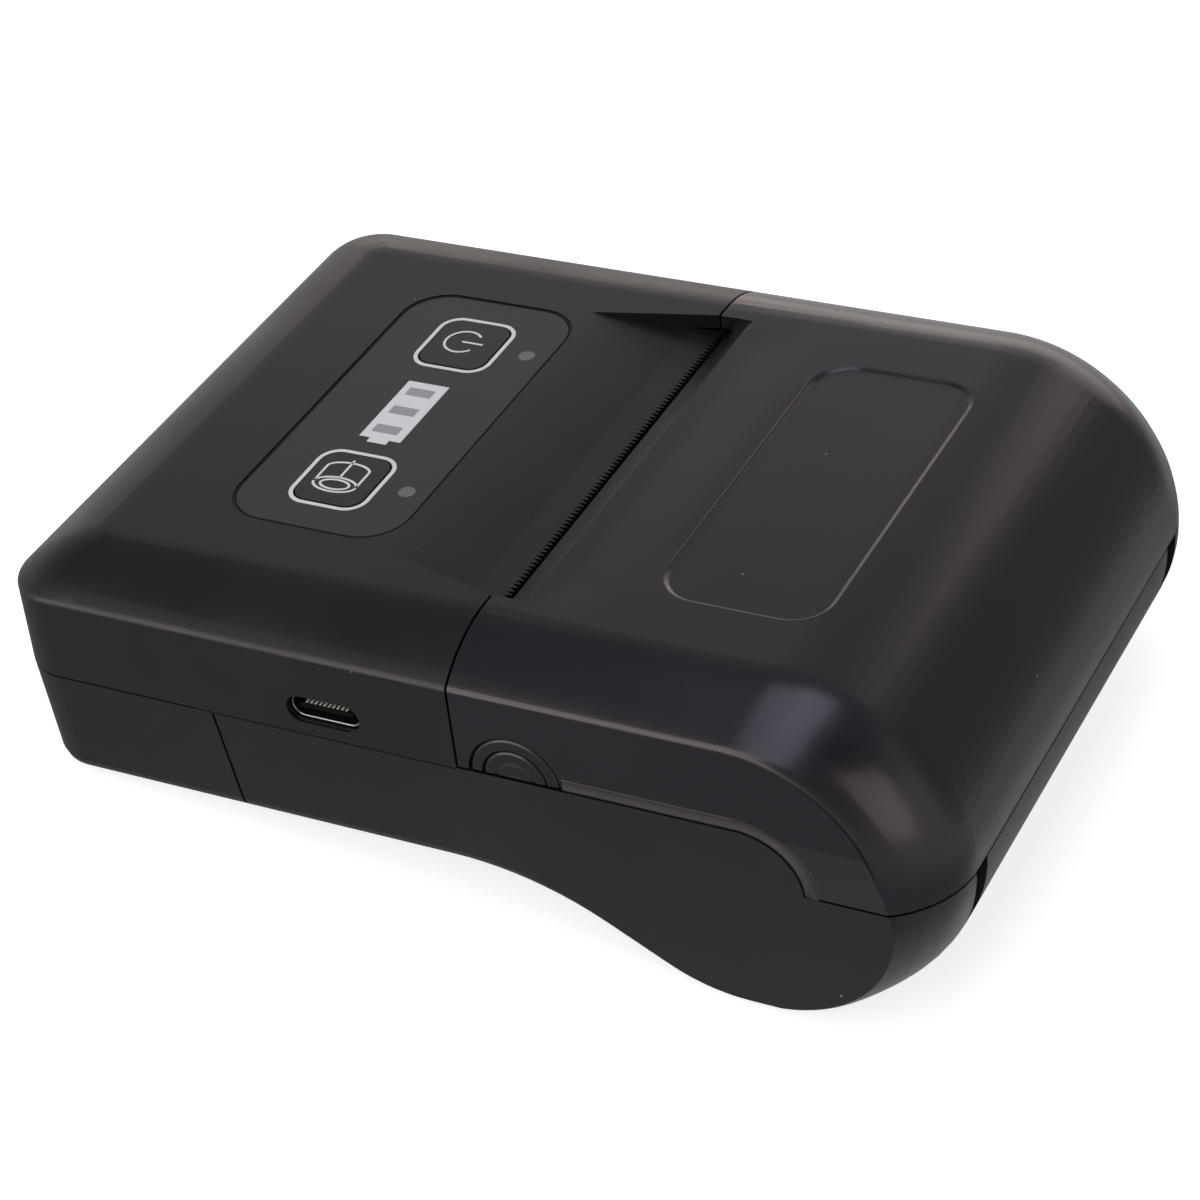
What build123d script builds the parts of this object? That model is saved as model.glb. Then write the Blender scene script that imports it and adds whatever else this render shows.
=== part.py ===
from build123d import *
import os
from math import acos, asin, atan2, cos, degrees, hypot, pi, radians, sin, sqrt, tan

# Portable thermal printer for 58 mm paper, in millimetres.
# +X points to the paper end, +Z up, -Y is the side with the USB socket.
# The origin lies under the middle of the body, at the lowest line of the paper bulge.

# Overall size of the body
LENGTH = 114.0
WIDTH = 83.0
HEIGHT = 40.5
WALL = 1.8
REAR_X = LENGTH / 2
FRONT_X = -LENGTH / 2
SIDE_Y = WIDTH / 2
FAR = 2 * LENGTH

# Levels of the outer form
TOP_DROP = 4.2          # fall of the top bevel from the flat top to the crease
SEAM_DEPTH = 14.7       # seam between upper and lower housing, under the top
BELLY_DEPTH = 14.6      # flat belly under the front half, below the seam
SEAM_Z = HEIGHT - SEAM_DEPTH
FLOOR_Z = SEAM_Z - BELLY_DEPTH
HIP_Z = 18.8            # widest level of the rounded paper end
FOOT_ROUND = 2.0        # rounding of the bottom edge
FOOT_BANDS = 3
CREASE_IN = 0.2         # draft of the side wall up to the crease
FOOT_IN = 0.6           # draft of the side wall down to the foot

# Bevel round the top and the rear
BEVEL_WIDTH = 10.2
REAR_DROP = 6.4         # how far the bevel falls back at the rear
HAUNCH_DROP = 4.5       # the same, half way down the bulge
BEVEL_BANDS = 7
CREASE_ROUND = 1.0      # rounding of the crease between bevel and side wall
CREASE_BANDS = 4
CORNER_ROUND = 6.5      # plan rounding of the front corners at their widest
CORNER_MIN = 0.7        # the same where the bevel meets the flat top
BEVEL_Y = SIDE_Y - CREASE_IN - BEVEL_WIDTH
CORNER_X = FRONT_X + CREASE_IN + BEVEL_WIDTH

# Bulge that holds the paper roll
BULGE_IN = 23.8         # from the rear end to the middle of the bulge
BULGE_X = REAR_X - BULGE_IN
BULGE_RADIUS = 19.85
WAIST_RADIUS = 37.0
FLANK_SHARE = 0.342     # part of the step up to the belly that is straight flank
BULGE_SLOPE = degrees(acos(1 - (1 - FLANK_SHARE) * FLOOR_Z / (BULGE_RADIUS + WAIST_RADIUS)))
BULGE_SHIFT = 1.7       # how far the bulge's lowest line moves forward at the sides

# Play and fits
RUNNING = 0.06          # radial play of a turning fit
LOOSE = 0.3             # play between pieces that move apart
CUT = 1.0               # how far a cutting body reaches past what it cuts
BLEND = 0.3             # how far a rib or tongue reaches into its wall

# Cover hinge
HINGE_IN = 4.0
HINGE_X = REAR_X - HINGE_IN
HINGE_Z = 13.0
HINGE_PIN_RADIUS = 1.0
HINGE_PIN_LENGTH = 8.4
HINGE_PIN_IN = 0.2      # how deep a pin's ends lie in the bosses
KNUCKLE_RADIUS = 2.2
ARM_Y = BEVEL_Y - 0.8   # middle of a hinge arm
HINGE_PIN_Y0 = ARM_Y - 3.1
HINGE_PIN_Y1 = HINGE_PIN_Y0 + HINGE_PIN_LENGTH
ARM_THICKNESS = 2.4
ARM_SLOT = 3.0          # width of the slot an arm swings in
ARM_LOW = 10.0          # degrees, flanks of an arm's neck
ARM_HIGH = 33.0
ARM_REACH = 14.0
COVER_SWING = 95.0      # degrees the cover opens
SLOT_START = ARM_LOW - 6.0                  # degrees, sweep of an arm's slot
SLOT_STOP = ARM_HIGH + COVER_SWING + 3.0
SLOT_STEPS = 4
SLOT_REACH = 10.0
SLOT_BULGE = 3.0        # extra reach of the slot through the rear wall

# Seams and gaps
SEAM_GAP = 0.3          # round the cover and the battery pack
GROOVE = 0.25           # shadow line between the two housings
GROOVE_DEPTH = 0.5
COVER_LENGTH = 55.7
COVER_X = REAR_X - COVER_LENGTH
HORN_X = BULGE_X + 0.9  # centre of the arc in the cover's lower edge
HORN_Z = HINGE_Z + 5.5
HORN_RADIUS = SEAM_Z - HORN_Z
ARM_TOP_Z = HORN_Z + 6.5
SKIRT = 1.6             # slanted band along the cover's lower edge
SKIRT_DEPTH = 0.3
BATTERY_TOP_X = COVER_X - 31.0
BATTERY_FOOT_X = BATTERY_TOP_X + 1.4
BATTERY_GAP = 0.2       # over the battery pack
PARTITION = 1.3         # wall behind the battery pack

# Tear ramp and paper slot
CHASSIS_Y = SIDE_Y - 10.4
RAMP_LENGTH = 15.3
RAMP_X = COVER_X - RAMP_LENGTH
SLOT_HALF = CHASSIS_Y - 1.7
RAMP_HALF = SLOT_HALF - 3.6
RAMP_DROP = 2.7
RAMP_SKIN = 1.4
LIP_X0 = COVER_X + 1.0  # front edge of the cover, behind the paper slot
LIP_LENGTH = 3.5
LIP_X = LIP_X0 + LIP_LENGTH
LIP_DROP = 2.3
LIP_LOW = HEIGHT - 4.0
LIP_ROOT = 3.0          # length over which the lip runs into the cover's wall
LIP_FOOT = 1.7
LIP_UNDER = 0.1
TEAR_X = COVER_X + 0.3  # tips of the teeth
TOOTH_PITCH = 1.1
TOOTH_DEPTH = 0.8
BLADE_MARGIN = 1.3      # from the blade's ends to the ends of the slot
TOOTH_COUNT = int(2 * (SLOT_HALF - BLADE_MARGIN) / TOOTH_PITCH)
BLADE_LENGTH = 4.0
BLADE_THICKNESS = 0.4

# Window and grips of the cover
WINDOW_X0 = COVER_X + 16.2
WINDOW_LENGTH = 20.1
WINDOW_X1 = WINDOW_X0 + WINDOW_LENGTH
WINDOW_HALF = 24.0
WINDOW_ROUND = 5.0
WINDOW_SINK = 0.35
WINDOW_FALL = 0.15      # how far the window's floor falls at its rear edge
WINDOW_SLANT = 60.0     # degrees, lean of the window's rim
GRIP_X = COVER_X + 7.2
GRIP_RADIUS = 5.6
GRIP_PITCH = 1.6
GRIP_COUNT = 3
GRIP_SINK = 0.4
GRIP_CREST = 0.08       # depth of a ring's inner edge

# Control panel
PANEL_LENGTH = 22.6
PANEL_WIDTH = 49.4
PANEL_ROUND = 5.5
PANEL_THICKNESS = 0.8
PANEL_SINK = 0.1
PANEL_FIT = 0.1
PANEL_X = RAMP_X - PANEL_FIT - PANEL_LENGTH / 2
PANEL_TOP = HEIGHT - PANEL_SINK
PANEL_LOW = PANEL_TOP - PANEL_THICKNESS
KEY_X = PANEL_X - 0.2
KEY_Y = 14.8
KEY_LENGTH = 8.8
KEY_WIDTH = 9.6
KEY_ROUND = 2.0
KEY_GAP = 0.2
KEY_PROUD = 0.1
KEY_TOP = PANEL_TOP + KEY_PROUD
KEY_FLANGE = 0.8
KEY_REST = 0.02         # gap over a key's flange at rest
KEY_TRAVEL = 0.4
LIGHT_X = PANEL_X + 8.2
LIGHT_RADIUS = 1.0
LIGHT_FLANGE = 1.0
LIGHT_RIM = 0.8
GAUGE_X = PANEL_X - 0.1
GAUGE_Y = -0.2
GAUGE_PITCH = 4.0
GAUGE_WINDOW_LENGTH = 3.9
GAUGE_WINDOW_WIDTH = 2.9
GAUGE_WINDOW_ROUND = 0.4
GAUGE_PLATE_LENGTH = 7.0
GAUGE_PLATE_WIDTH = 14.0
GAUGE_PLATE_ROUND = 1.0

# USB socket
USB_X = COVER_X - 16.2
USB_Z = SEAM_Z + 3.26
USB_WIDTH = 8.94
USB_HEIGHT = 3.2
USB_DEPTH = 7.4
USB_RECESS = 0.3
USB_SLOT_FIT = 0.15
USB_SKIN = 0.3
USB_TONGUE = 6.7
USB_TONGUE_LENGTH = 4.5
USB_TONGUE_THICKNESS = 0.7
USB_BACK = 1.0          # thickness of the socket's rear wall

# Paper bay
BAY_HALF = CHASSIS_Y - 0.9
BAY_WALL = 1.5
BAY_TOP_Z = SEAM_Z - 0.8
BAY_END_X = REAR_X - 9.0
BAY_MIDDLE = 205.0      # degrees, arc of the bay's front wall
BAY_STOP = 240.0

# Platen on the cover
PLATEN_X = COVER_X + 4.3
PLATEN_Z = HEIGHT - 9.5
PLATEN_RADIUS = 4.8
SHAFT_RADIUS = 1.5
RING_RADIUS = 2.6
RING_THICKNESS = 0.8
BUSH_RADIUS = 2.5
BUSH_FLANGE = 3.3
BUSH_COLLAR = 0.4
BRACKET_THICKNESS = 1.2
BRACKET_Y = CHASSIS_Y - LOOSE - BRACKET_THICKNESS
PLATEN_HALF = BRACKET_Y - BUSH_COLLAR - 0.2
BRACKET_BACK_X = PLATEN_X + 5.6
BRACKET_EAR = 3.0
BRACKET_TOP = 6.0       # top of a cheek over the platen's axis
BRACKET_CHIN = 3.5      # lowest point of a cheek under the platen's axis
BRACKET_LOW_Z = PLATEN_Z - 2.0
FLANGE_TOP = HEIGHT - 4.8
FLANGE_LENGTH = 6.0
FLANGE_HALF = BRACKET_Y - 3.6
BRACKET_SCREWS = [(BRACKET_BACK_X + 4.2, side * (FLANGE_HALF - 6.0)) for side in (-1, 1)]
BRACKET_SCREW_RADIUS = 0.8
BRACKET_SCREW_GRIP = 2.6

# Gear train
MODULE = 0.5
PLATEN_TEETH = 24
IDLER_SMALL_TEETH = 14
IDLER_LARGE_TEETH = 36
PINION_TEETH = 12
GEAR_FACE = 2.2
GEAR_SPACE = 0.3
GEAR_CLEAR = 0.6        # round a gear in the pocket of the upper housing
BACKLASH = 0.08
PRESSURE = radians(20)
ADDENDUM = 0.95
DEDENDUM = 1.25
UNDERCUT = 0.08
FLANK_STEPS = 4
MESH_SPREAD = 1.008     # centre distance over the standard one
HUB_RADIUS = 2.0
IDLER_ANGLE = 236.0     # degrees, seen from the platen
PINION_ANGLE = 185.0    # degrees, seen from the idler
AXLE_RADIUS = 0.9
RIVET_RIM = 0.7
RIVET_HEIGHT = 0.4
IDLER_DISTANCE = MODULE * (PLATEN_TEETH + IDLER_SMALL_TEETH) / 2 * MESH_SPREAD
PINION_DISTANCE = MODULE * (IDLER_LARGE_TEETH + PINION_TEETH) / 2 * MESH_SPREAD
IDLER_X = PLATEN_X + IDLER_DISTANCE * cos(radians(IDLER_ANGLE))
IDLER_Z = PLATEN_Z + IDLER_DISTANCE * sin(radians(IDLER_ANGLE))
PINION_X = IDLER_X + PINION_DISTANCE * cos(radians(PINION_ANGLE))
PINION_Z = IDLER_Z + PINION_DISTANCE * sin(radians(PINION_ANGLE))

# Printing chassis and head
CHASSIS_WALL = 1.5
CHASSIS_FRONT_X = PLATEN_X - 14.6
CHASSIS_REAR_X = PLATEN_X + 5.4
CHASSIS_FOOT_Z = FLOOR_Z + WALL + 3.0
CHASSIS_TOP_Z = PLATEN_Z + 3.6
CHASSIS_SCREWS = [(PLATEN_X + x, side * (CHASSIS_Y - 7.1)) for x in (-8.1, 2.9) for side in (-1, 1)]
CHASSIS_SCREW_GRIP = 3.0
FOOT_PLATE = 1.2
FOOT_PLATE_X = PLATEN_X - 10.6
BEAM = 1.6
BEAM_LOW_Z = PLATEN_Z - 1.4
NOTCH_GAP = 0.4
NOTCH_REACH = 20.0
GUIDE_START = 235.0
GUIDE_END = 300.0
GUIDE_GAP = 1.6
GUIDE_WALL = 1.4
HEAD_GAP = 0.3          # paper and play between platen and head
HEAD_FACE_X = PLATEN_X - PLATEN_RADIUS - HEAD_GAP
HEAD_PLATE = 1.0
HEAD_HALF = CHASSIS_Y - 4.1
HEAD_LOW_Z = PLATEN_Z - 5.5
HEAD_TOP_Z = PLATEN_Z + 4.4
DRIVER_HEIGHT = 1.2     # strip of driver chips along the head's foot
DRIVER_PROUD = 0.7
DRIVER_MARGIN = 2.0
SINK_PLATE = 2.8
SINK_LOW_Z = PLATEN_Z - 12.0
SINK_TOP_Z = PLATEN_Z + 5.0
SINK_EAR = CHASSIS_Y - 0.4
SINK_SLOTS = 3
SINK_SLOT_Z = SINK_LOW_Z + 5.5
SINK_SLOT_PITCH = 2.0
SINK_SLOT_WIDTH = 1.0
SINK_SLOT_DEPTH = 0.9
SINK_SLOT_HALF = HEAD_HALF - 2.0
HEAD_BACK_X = HEAD_FACE_X - HEAD_PLATE
SINK_BACK_X = HEAD_BACK_X - SINK_PLATE
HEAD_PIVOT_X = HEAD_BACK_X - SINK_PLATE / 2
HEAD_PIVOT_Z = SINK_LOW_Z + 1.8
HEAD_PIN_RADIUS = 1.0
EAR_TOP = 2.0           # top of the ears over the pivot
SPRING_Y = 18.0
SPRING_Z = PLATEN_Z + 1.0
SPRING_RADIUS = 1.6
SPRING_WIRE = 0.35
SPRING_TURNS = 4
FLEX_X = SINK_BACK_X - 0.8
FLEX_THICKNESS = 0.25
FLEX_Y0 = 5.0 - HEAD_HALF
FLEX_WIDTH = 16.0
FLEX_IN = 3.0           # from the board's edge to the cable
FLEX_BEND = 1.2

# Stepper motor
MOTOR_RADIUS = 7.0
MOTOR_LENGTH = 16.0
MOTOR_SHAFT_RADIUS = 0.75
MOTOR_SHAFT_IN = 4.0
MOTOR_BOSS_RADIUS = 2.4
MOTOR_EDGE = 1.0        # cheek beyond the motor
SENSOR_SIZE = 4.0
SENSOR_WIDTH = 5.0
SENSOR_HEIGHT = 1.85

# Circuit board
BOARD_Z = USB_Z + USB_HEIGHT / 2
BOARD_THICKNESS = 1.2
BOARD_TOP = BOARD_Z + BOARD_THICKNESS
BOARD_X0 = FRONT_X + 5.0
BOARD_X1 = COVER_X - 12.8
BOARD_Y0 = 3.3 - SIDE_Y
BOARD_Y1 = SIDE_Y - 9.5
BOARD_POSTS = [(BOARD_X0 + 3.0, 6.0 - BOARD_Y1), (BOARD_X0 + 3.0, BOARD_Y1 - 6.0),
               (BOARD_X1 - 2.5, 8.0 - BOARD_Y1), (BOARD_X1 - 2.5, BOARD_Y1 - 8.0)]
BOARD_SCREW_RADIUS = 0.9
BOARD_SCREW_GRIP = 4.0
POST_RADIUS = 2.2
NOTCH_PLAY = 0.5
SWITCH_SIZE = 6.0
SWITCH_HEIGHT = 3.6
SWITCH_FOOT = 0.9
SWITCH_FOOT_Y = 2.25
SWITCH_FOOT_WIDTH = 0.7
SWITCH_FOOT_HEIGHT = 0.4
PLUNGER_RADIUS = 1.6
PLUNGER_PROUD = 0.8
PLUNGER_IN = 1.2
STEM_RADIUS = 1.4
PLUNGER_TOP = BOARD_TOP + SWITCH_HEIGHT + PLUNGER_PROUD
PLUNGER_LOW = BOARD_TOP + SWITCH_HEIGHT - PLUNGER_IN
CHIP_X = (BOARD_X0 + KEY_X - SWITCH_SIZE / 2) / 2
BOARD_CHIPS = [(CHIP_X, 0.0, 7.0, 7.0, 0.9), (CHIP_X, 14.0, 5.0, 6.0, 1.2), (CHIP_X, -14.0, 4.0, 5.0, 1.6),
               (CHIP_X + 5.3, 6.0 - BOARD_Y1, 4.0, 4.0, 2.0), (BOARD_X1 - 3.0, 0.0, 3.0, 14.0, 2.2)]
LED_LENGTH = 1.6
LED_WIDTH = 1.2
LED_HEIGHT = 0.8

# Battery pack
CASE_WALL = 1.5
SHELF_Z = SEAM_Z - 1.3
SHELF_ROUND = 4.5
SHELF_PLAY = 0.2
LID_THICKNESS = 1.0
LID_Z = SHELF_Z - LOOSE - LID_THICKNESS
CELL_PLAY = 0.7
CELL_SPACE = 0.6        # from the middle to a cell
CELL_SEAT = 0.1
CELL_CORNER = 2.5       # keeps the cells clear of the case's round corners
CELL_ROUND = 2.0
CELL_X0 = FRONT_X + FOOT_IN + WALL + CELL_PLAY
CELL_X1 = BATTERY_TOP_X - SEAM_GAP - CASE_WALL - 2 * CELL_PLAY
CELL_LENGTH = SIDE_Y - FOOT_IN - WALL - CELL_CORNER - CELL_SPACE
CELL_Z = FLOOR_Z + WALL + CELL_SEAT
CELL_HEIGHT = LID_Z - LOOSE - CELL_Z
TERMINAL_PITCH = 3.5
TERMINAL_COUNT = 3
TERMINAL_LENGTH = 3.0
TERMINAL_WIDTH = 2.0
TERMINAL_HEIGHT = 0.15
CONTACT_X = BATTERY_TOP_X - 6.3
CONTACT_RADIUS = 0.5
CONTACT_REACH = 0.05

# Screws
SCREW_RADIUS = 1.1
SCREW_HEAD_RADIUS = 2.1
SCREW_HEAD = 1.3
SCREW_PLAY = 0.2
BOSS_RADIUS = 2.5
HOUSING_SCREW_Y = SIDE_Y - 5.3
HOUSING_SCREWS = [(COVER_X - 25.3, -HOUSING_SCREW_Y), (COVER_X - 25.3, HOUSING_SCREW_Y),
                  (COVER_X - 5.3, -HOUSING_SCREW_Y)]
HOUSING_SCREW_HEAD_TOP = SEAM_Z - 4.8
HOUSING_SCREW_TOP = HEIGHT - 7.5
LOWER_BOSS_RADIUS = 3.2
COUNTERBORE_RADIUS = 2.4

# Ribs
RIB = 1.2
RIB_DEPTH = 1.6
RIB_X0 = FRONT_X + 6.0
RIB_X1 = PANEL_X - PANEL_LENGTH / 2 - 2.3
RIB_Y = 12.0
SIDE_RIBS = [BULGE_X - 13.2, BULGE_X + 0.8]
SIDE_RIB_Z = HIP_Z - 1.8
TONGUE_X0 = COVER_X - 19.3
TONGUE_LENGTH = 10.0
TONGUE_THICKNESS = 1.2
TONGUE_ROOT = 1.8
TONGUE_HEIGHT = 1.2
GEAR_RELIEF = 3.0       # pocket in the upper housing's rear edge for the platen gear
BARREL_BANDS = 5

# Levels along Y of the gear train
GEAR_Y = CHASSIS_Y + CHASSIS_WALL + 0.4
LARGE_GEAR_Y = GEAR_Y + GEAR_FACE + GEAR_SPACE
BUSH_END = CHASSIS_Y + CHASSIS_WALL
SHAFT_END = BUSH_END + 2.0


def polar(centre, radius, angle):
    """Point at an angle in degrees round a centre."""
    return (centre[0] + radius * cos(radians(angle)), centre[1] + radius * sin(radians(angle)))


def side_plane(y):
    """Plane of the side view at a given Y: local x is X, local y is Z."""
    return Plane.XZ.offset(-y)


def side_slab(outline, y0, y1):
    """Closed side-view outline carried from y0 to y1."""
    return extrude(side_plane(y1) * make_face(outline), y1 - y0)


def side_disc(centre, radius, y0, y1):
    """Cylinder along Y between y0 and y1."""
    return extrude(side_plane(y1) * Pos(*centre) * Circle(radius), y1 - y0)


def block(x0, x1, y0, y1, z0, z1):
    """Box between two corners."""
    return Pos((x0 + x1) / 2, (y0 + y1) / 2, (z0 + z1) / 2) * Box(x1 - x0, y1 - y0, z1 - z0)


def post(x, y, radius, z0, z1):
    """Upright cylinder."""
    return Pos(x, y, z0) * Cylinder(radius, z1 - z0, align=(Align.CENTER, Align.CENTER, Align.MIN))


def tablet(x, y, length, width, rounding, z0, z1):
    """Upright block with rounded corners."""
    return Pos(x, y, z0) * extrude(RectangleRounded(length, width, rounding), z1 - z0)


def mirrored(shape):
    """The same piece on the other side of the body."""
    return mirror(shape, Plane.XZ)


def both_sides(shape):
    """A piece and its mirror image."""
    return shape + mirrored(shape)


# Outer form


def bevel_drop(offset, drop, wall):
    """Fall of the bevel's arc at a distance beyond its start, with the rounded crease at its end."""
    radius = (BEVEL_WIDTH ** 2 + drop ** 2) / (2 * drop) - wall
    reach = min(max(offset, 0.0), radius)
    straight = BEVEL_WIDTH - CREASE_ROUND
    if wall or reach <= straight * radius / (radius - CREASE_ROUND):
        return radius - sqrt(radius ** 2 - reach ** 2)
    middle = radius - sqrt((radius - CREASE_ROUND) ** 2 - straight ** 2)
    beyond = min(reach - straight, CREASE_ROUND)
    return middle - sqrt(CREASE_ROUND ** 2 - beyond ** 2)


def foot_lift(y, wall):
    """Rise of the bottom edge's rounding, left out on the inner skin."""
    if wall:
        return 0.0
    start = SIDE_Y - FOOT_IN - FOOT_ROUND
    reach = min(max(y - start, 0.0), FOOT_ROUND)
    return FOOT_ROUND - sqrt(FOOT_ROUND ** 2 - reach ** 2)


def underside(wall, lift):
    """Points of the underside from the bulge's arc to the flat belly."""
    normal = (-sin(radians(BULGE_SLOPE)), -cos(radians(BULGE_SLOPE)))
    bulge = (BULGE_X, BULGE_RADIUS)
    bulge_arc = BULGE_RADIUS - wall - lift
    waist_arc = WAIST_RADIUS + wall + lift
    waist_z = FLOOR_Z - WAIST_RADIUS
    low = (bulge[0] + normal[0] * bulge_arc, bulge[1] + normal[1] * bulge_arc)
    run = (waist_z - low[1] - normal[1] * waist_arc) / sin(radians(BULGE_SLOPE))
    high = (low[0] - cos(radians(BULGE_SLOPE)) * run, low[1] + sin(radians(BULGE_SLOPE)) * run)
    waist = (high[0] + normal[0] * waist_arc, waist_z)
    return (polar(bulge, bulge_arc, 270 - BULGE_SLOPE / 2), low, high,
            polar(waist, waist_arc, 90 - BULGE_SLOPE / 2), (waist[0], FLOOR_Z + wall + lift))


def side_outline(y, wall, front=None):
    """Side view of the body at a given Y, closed by its front points or by the corner plane."""
    over = y - BEVEL_Y
    top = HEIGHT - wall - bevel_drop(over, TOP_DROP, wall)
    rear = REAR_X - wall - bevel_drop(over, REAR_DROP, wall)
    haunch = HIP_Z - wall - bevel_drop(over, HAUNCH_DROP, wall)
    lift = foot_lift(y, wall)
    share = min(max(over, 0.0) / BEVEL_WIDTH, 1.0) ** 2
    hip_arc = top - HIP_Z
    hip = (rear - hip_arc, HIP_Z)
    low = (REAR_X - HIP_Z - BULGE_SHIFT * share, wall + lift)
    bulge_mid, flank_low, flank_high, waist_mid, belly = underside(wall, lift)
    front = front or [(CORNER_X, belly[1]), (CORNER_X, top)]
    outline = Line(front[-1], (hip[0], top))
    outline += ThreePointArc((hip[0], top), polar(hip, hip_arc, 45), (rear, HIP_Z))
    outline += ThreePointArc((rear, HIP_Z), polar((REAR_X - HIP_Z, HIP_Z), haunch, -45), low)
    outline += Line(low, (BULGE_X, low[1]))
    outline += ThreePointArc((BULGE_X, low[1]), bulge_mid, flank_low)
    outline += Line(flank_low, flank_high)
    outline += ThreePointArc(flank_high, waist_mid, belly)
    outline += Polyline(belly, *front)
    return outline


def bevel_offsets(wall):
    """Distances beyond the bevel's start at which sections lie, closer together round the crease."""
    if wall:
        return [(BEVEL_WIDTH - wall) * band / BEVEL_BANDS for band in range(BEVEL_BANDS + 1)]
    radius = (BEVEL_WIDTH ** 2 + TOP_DROP ** 2) / (2 * TOP_DROP)
    straight = BEVEL_WIDTH - CREASE_ROUND
    turn = asin(straight / (radius - CREASE_ROUND))
    offsets = [radius * sin(turn) * band / BEVEL_BANDS for band in range(BEVEL_BANDS + 1)]
    for band in range(1, CREASE_BANDS + 1):
        offsets.append(straight + CREASE_ROUND * sin(turn + (pi / 2 - turn) * band / CREASE_BANDS))
    return offsets


def foot_turns():
    """Angles along the rounding of the bottom edge."""
    return [90 * band / FOOT_BANDS for band in range(FOOT_BANDS + 1)]


def edge_points(wall):
    """Reach and height of the front and corner wall, from the foot up to the flat top."""
    foot_reach = BEVEL_WIDTH + CREASE_IN - FOOT_IN
    points = []
    if wall:
        points.append((foot_reach - wall, FLOOR_Z + wall))
    else:
        for turn in foot_turns():
            points.append((foot_reach - FOOT_ROUND * (1 - sin(radians(turn))),
                           FLOOR_Z + FOOT_ROUND * (1 - cos(radians(turn)))))
    points.append((BEVEL_WIDTH + CREASE_IN - wall, SEAM_Z))
    for offset in reversed(bevel_offsets(wall)):
        points.append((offset, HEIGHT - wall - bevel_drop(offset, TOP_DROP, wall)))
    return points


def section_offsets(wall):
    """Y of the sections between the bevel's start and the side wall."""
    offsets = [BEVEL_Y + offset for offset in bevel_offsets(wall)]
    if not wall:
        start = SIDE_Y - FOOT_IN - FOOT_ROUND
        offsets += [start + FOOT_ROUND * sin(radians(turn)) for turn in foot_turns()]
    return sorted(offsets)


def corner_section(reach, z):
    """Plan section of a front corner at one height."""
    rounding = CORNER_MIN + (CORNER_ROUND - CORNER_MIN) * reach / (BEVEL_WIDTH + CREASE_IN)
    x, y = CORNER_X - reach, BEVEL_Y + reach
    inner_x, inner_y = CORNER_X + CUT, BEVEL_Y - CUT
    outline = Line((x, y - rounding), (x, inner_y))
    outline += Polyline((x, inner_y), (inner_x, inner_y), (inner_x, y), (x + rounding, y))
    outline += RadiusArc((x + rounding, y), (x, y - rounding), -rounding)
    return Pos(0, 0, z) * make_face(outline)


def envelope(wall):
    """Whole outer form, or the form of its inner skin when a wall is given."""
    points = edge_points(wall)
    front = [(CORNER_X - reach, z) for reach, z in points]
    middle = side_slab(side_outline(0, wall, front), -BEVEL_Y, BEVEL_Y)
    sections = [side_plane(y) * make_face(side_outline(y, wall)) for y in section_offsets(wall)]
    side = loft(sections, ruled=True)
    side += extrude(sections[-1], -CUT)
    side += loft([corner_section(reach, z) for reach, z in points], ruled=True)
    side -= side_draft(wall)
    return middle + side + mirrored(side)


def side_draft(wall):
    """Everything outside the drafted side wall."""
    lean = FOOT_IN / (SEAM_Z - FLOOR_Z - FOOT_ROUND)
    low = -CUT
    crease = HEIGHT - bevel_drop(BEVEL_WIDTH, TOP_DROP, 0)
    outline = Polyline(
        (SIDE_Y - lean * (SEAM_Z - low) - wall, low),
        (SIDE_Y - wall, SEAM_Z),
        (SIDE_Y - CREASE_IN - wall, crease),
        (SIDE_Y - CREASE_IN - wall, HEIGHT + CUT),
        (FAR, HEIGHT + CUT),
        (FAR, low),
        close=True)
    plane = Plane(origin=(CORNER_X, 0, 0), x_dir=(0, 1, 0), z_dir=(1, 0, 0))
    return extrude(plane * make_face(outline), FAR)


def line_x(z):
    """X of the slanted seam between battery pack and lower housing."""
    share = (z - FLOOR_Z) / (SEAM_Z - FLOOR_Z)
    return BATTERY_FOOT_X + (BATTERY_TOP_X - BATTERY_FOOT_X) * share


def battery_space(gap, top):
    """Everything in front of the slanted seam and under a level."""
    low = -CUT
    outline = Polyline((-FAR, low), (line_x(low) - gap, low), (line_x(top) - gap, top), (-FAR, top),
                       close=True)
    return side_slab(outline, -FAR, FAR)


def hinge_barrel(gap):
    """Round body about the cover hinge that the cover's rear edge swings past."""
    lift = HORN_Z - HINGE_Z
    end = BEVEL_Y + rear_reach(REAR_X - HINGE_X)
    profile = [(hypot(REAR_X - HINGE_X, lift) + gap, BEVEL_Y)]
    for band in range(1, BARREL_BANDS):
        y = BEVEL_Y + (end - BEVEL_Y) * band / BARREL_BANDS
        x = REAR_X - bevel_drop(y - BEVEL_Y, REAR_DROP, 0)
        profile.append((hypot(x - HINGE_X, lift) + gap, y))
    profile += [(lift + gap, end), (lift + gap, SIDE_Y + CUT), (0, SIDE_Y + CUT)]
    profile = [(r, -y) for r, y in reversed(profile)] + profile
    plane = Plane(origin=(HINGE_X, 0, HINGE_Z))
    return revolve(plane * make_face(Polyline(*profile, close=True)), Axis((HINGE_X, 0, HINGE_Z), (0, 1, 0)))


def rear_reach(drop):
    """Distance beyond the bevel's start at which the rear has fallen back by a drop."""
    radius = (BEVEL_WIDTH ** 2 + REAR_DROP ** 2) / (2 * REAR_DROP)
    return sqrt(radius ** 2 - (radius - drop) ** 2)


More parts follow.
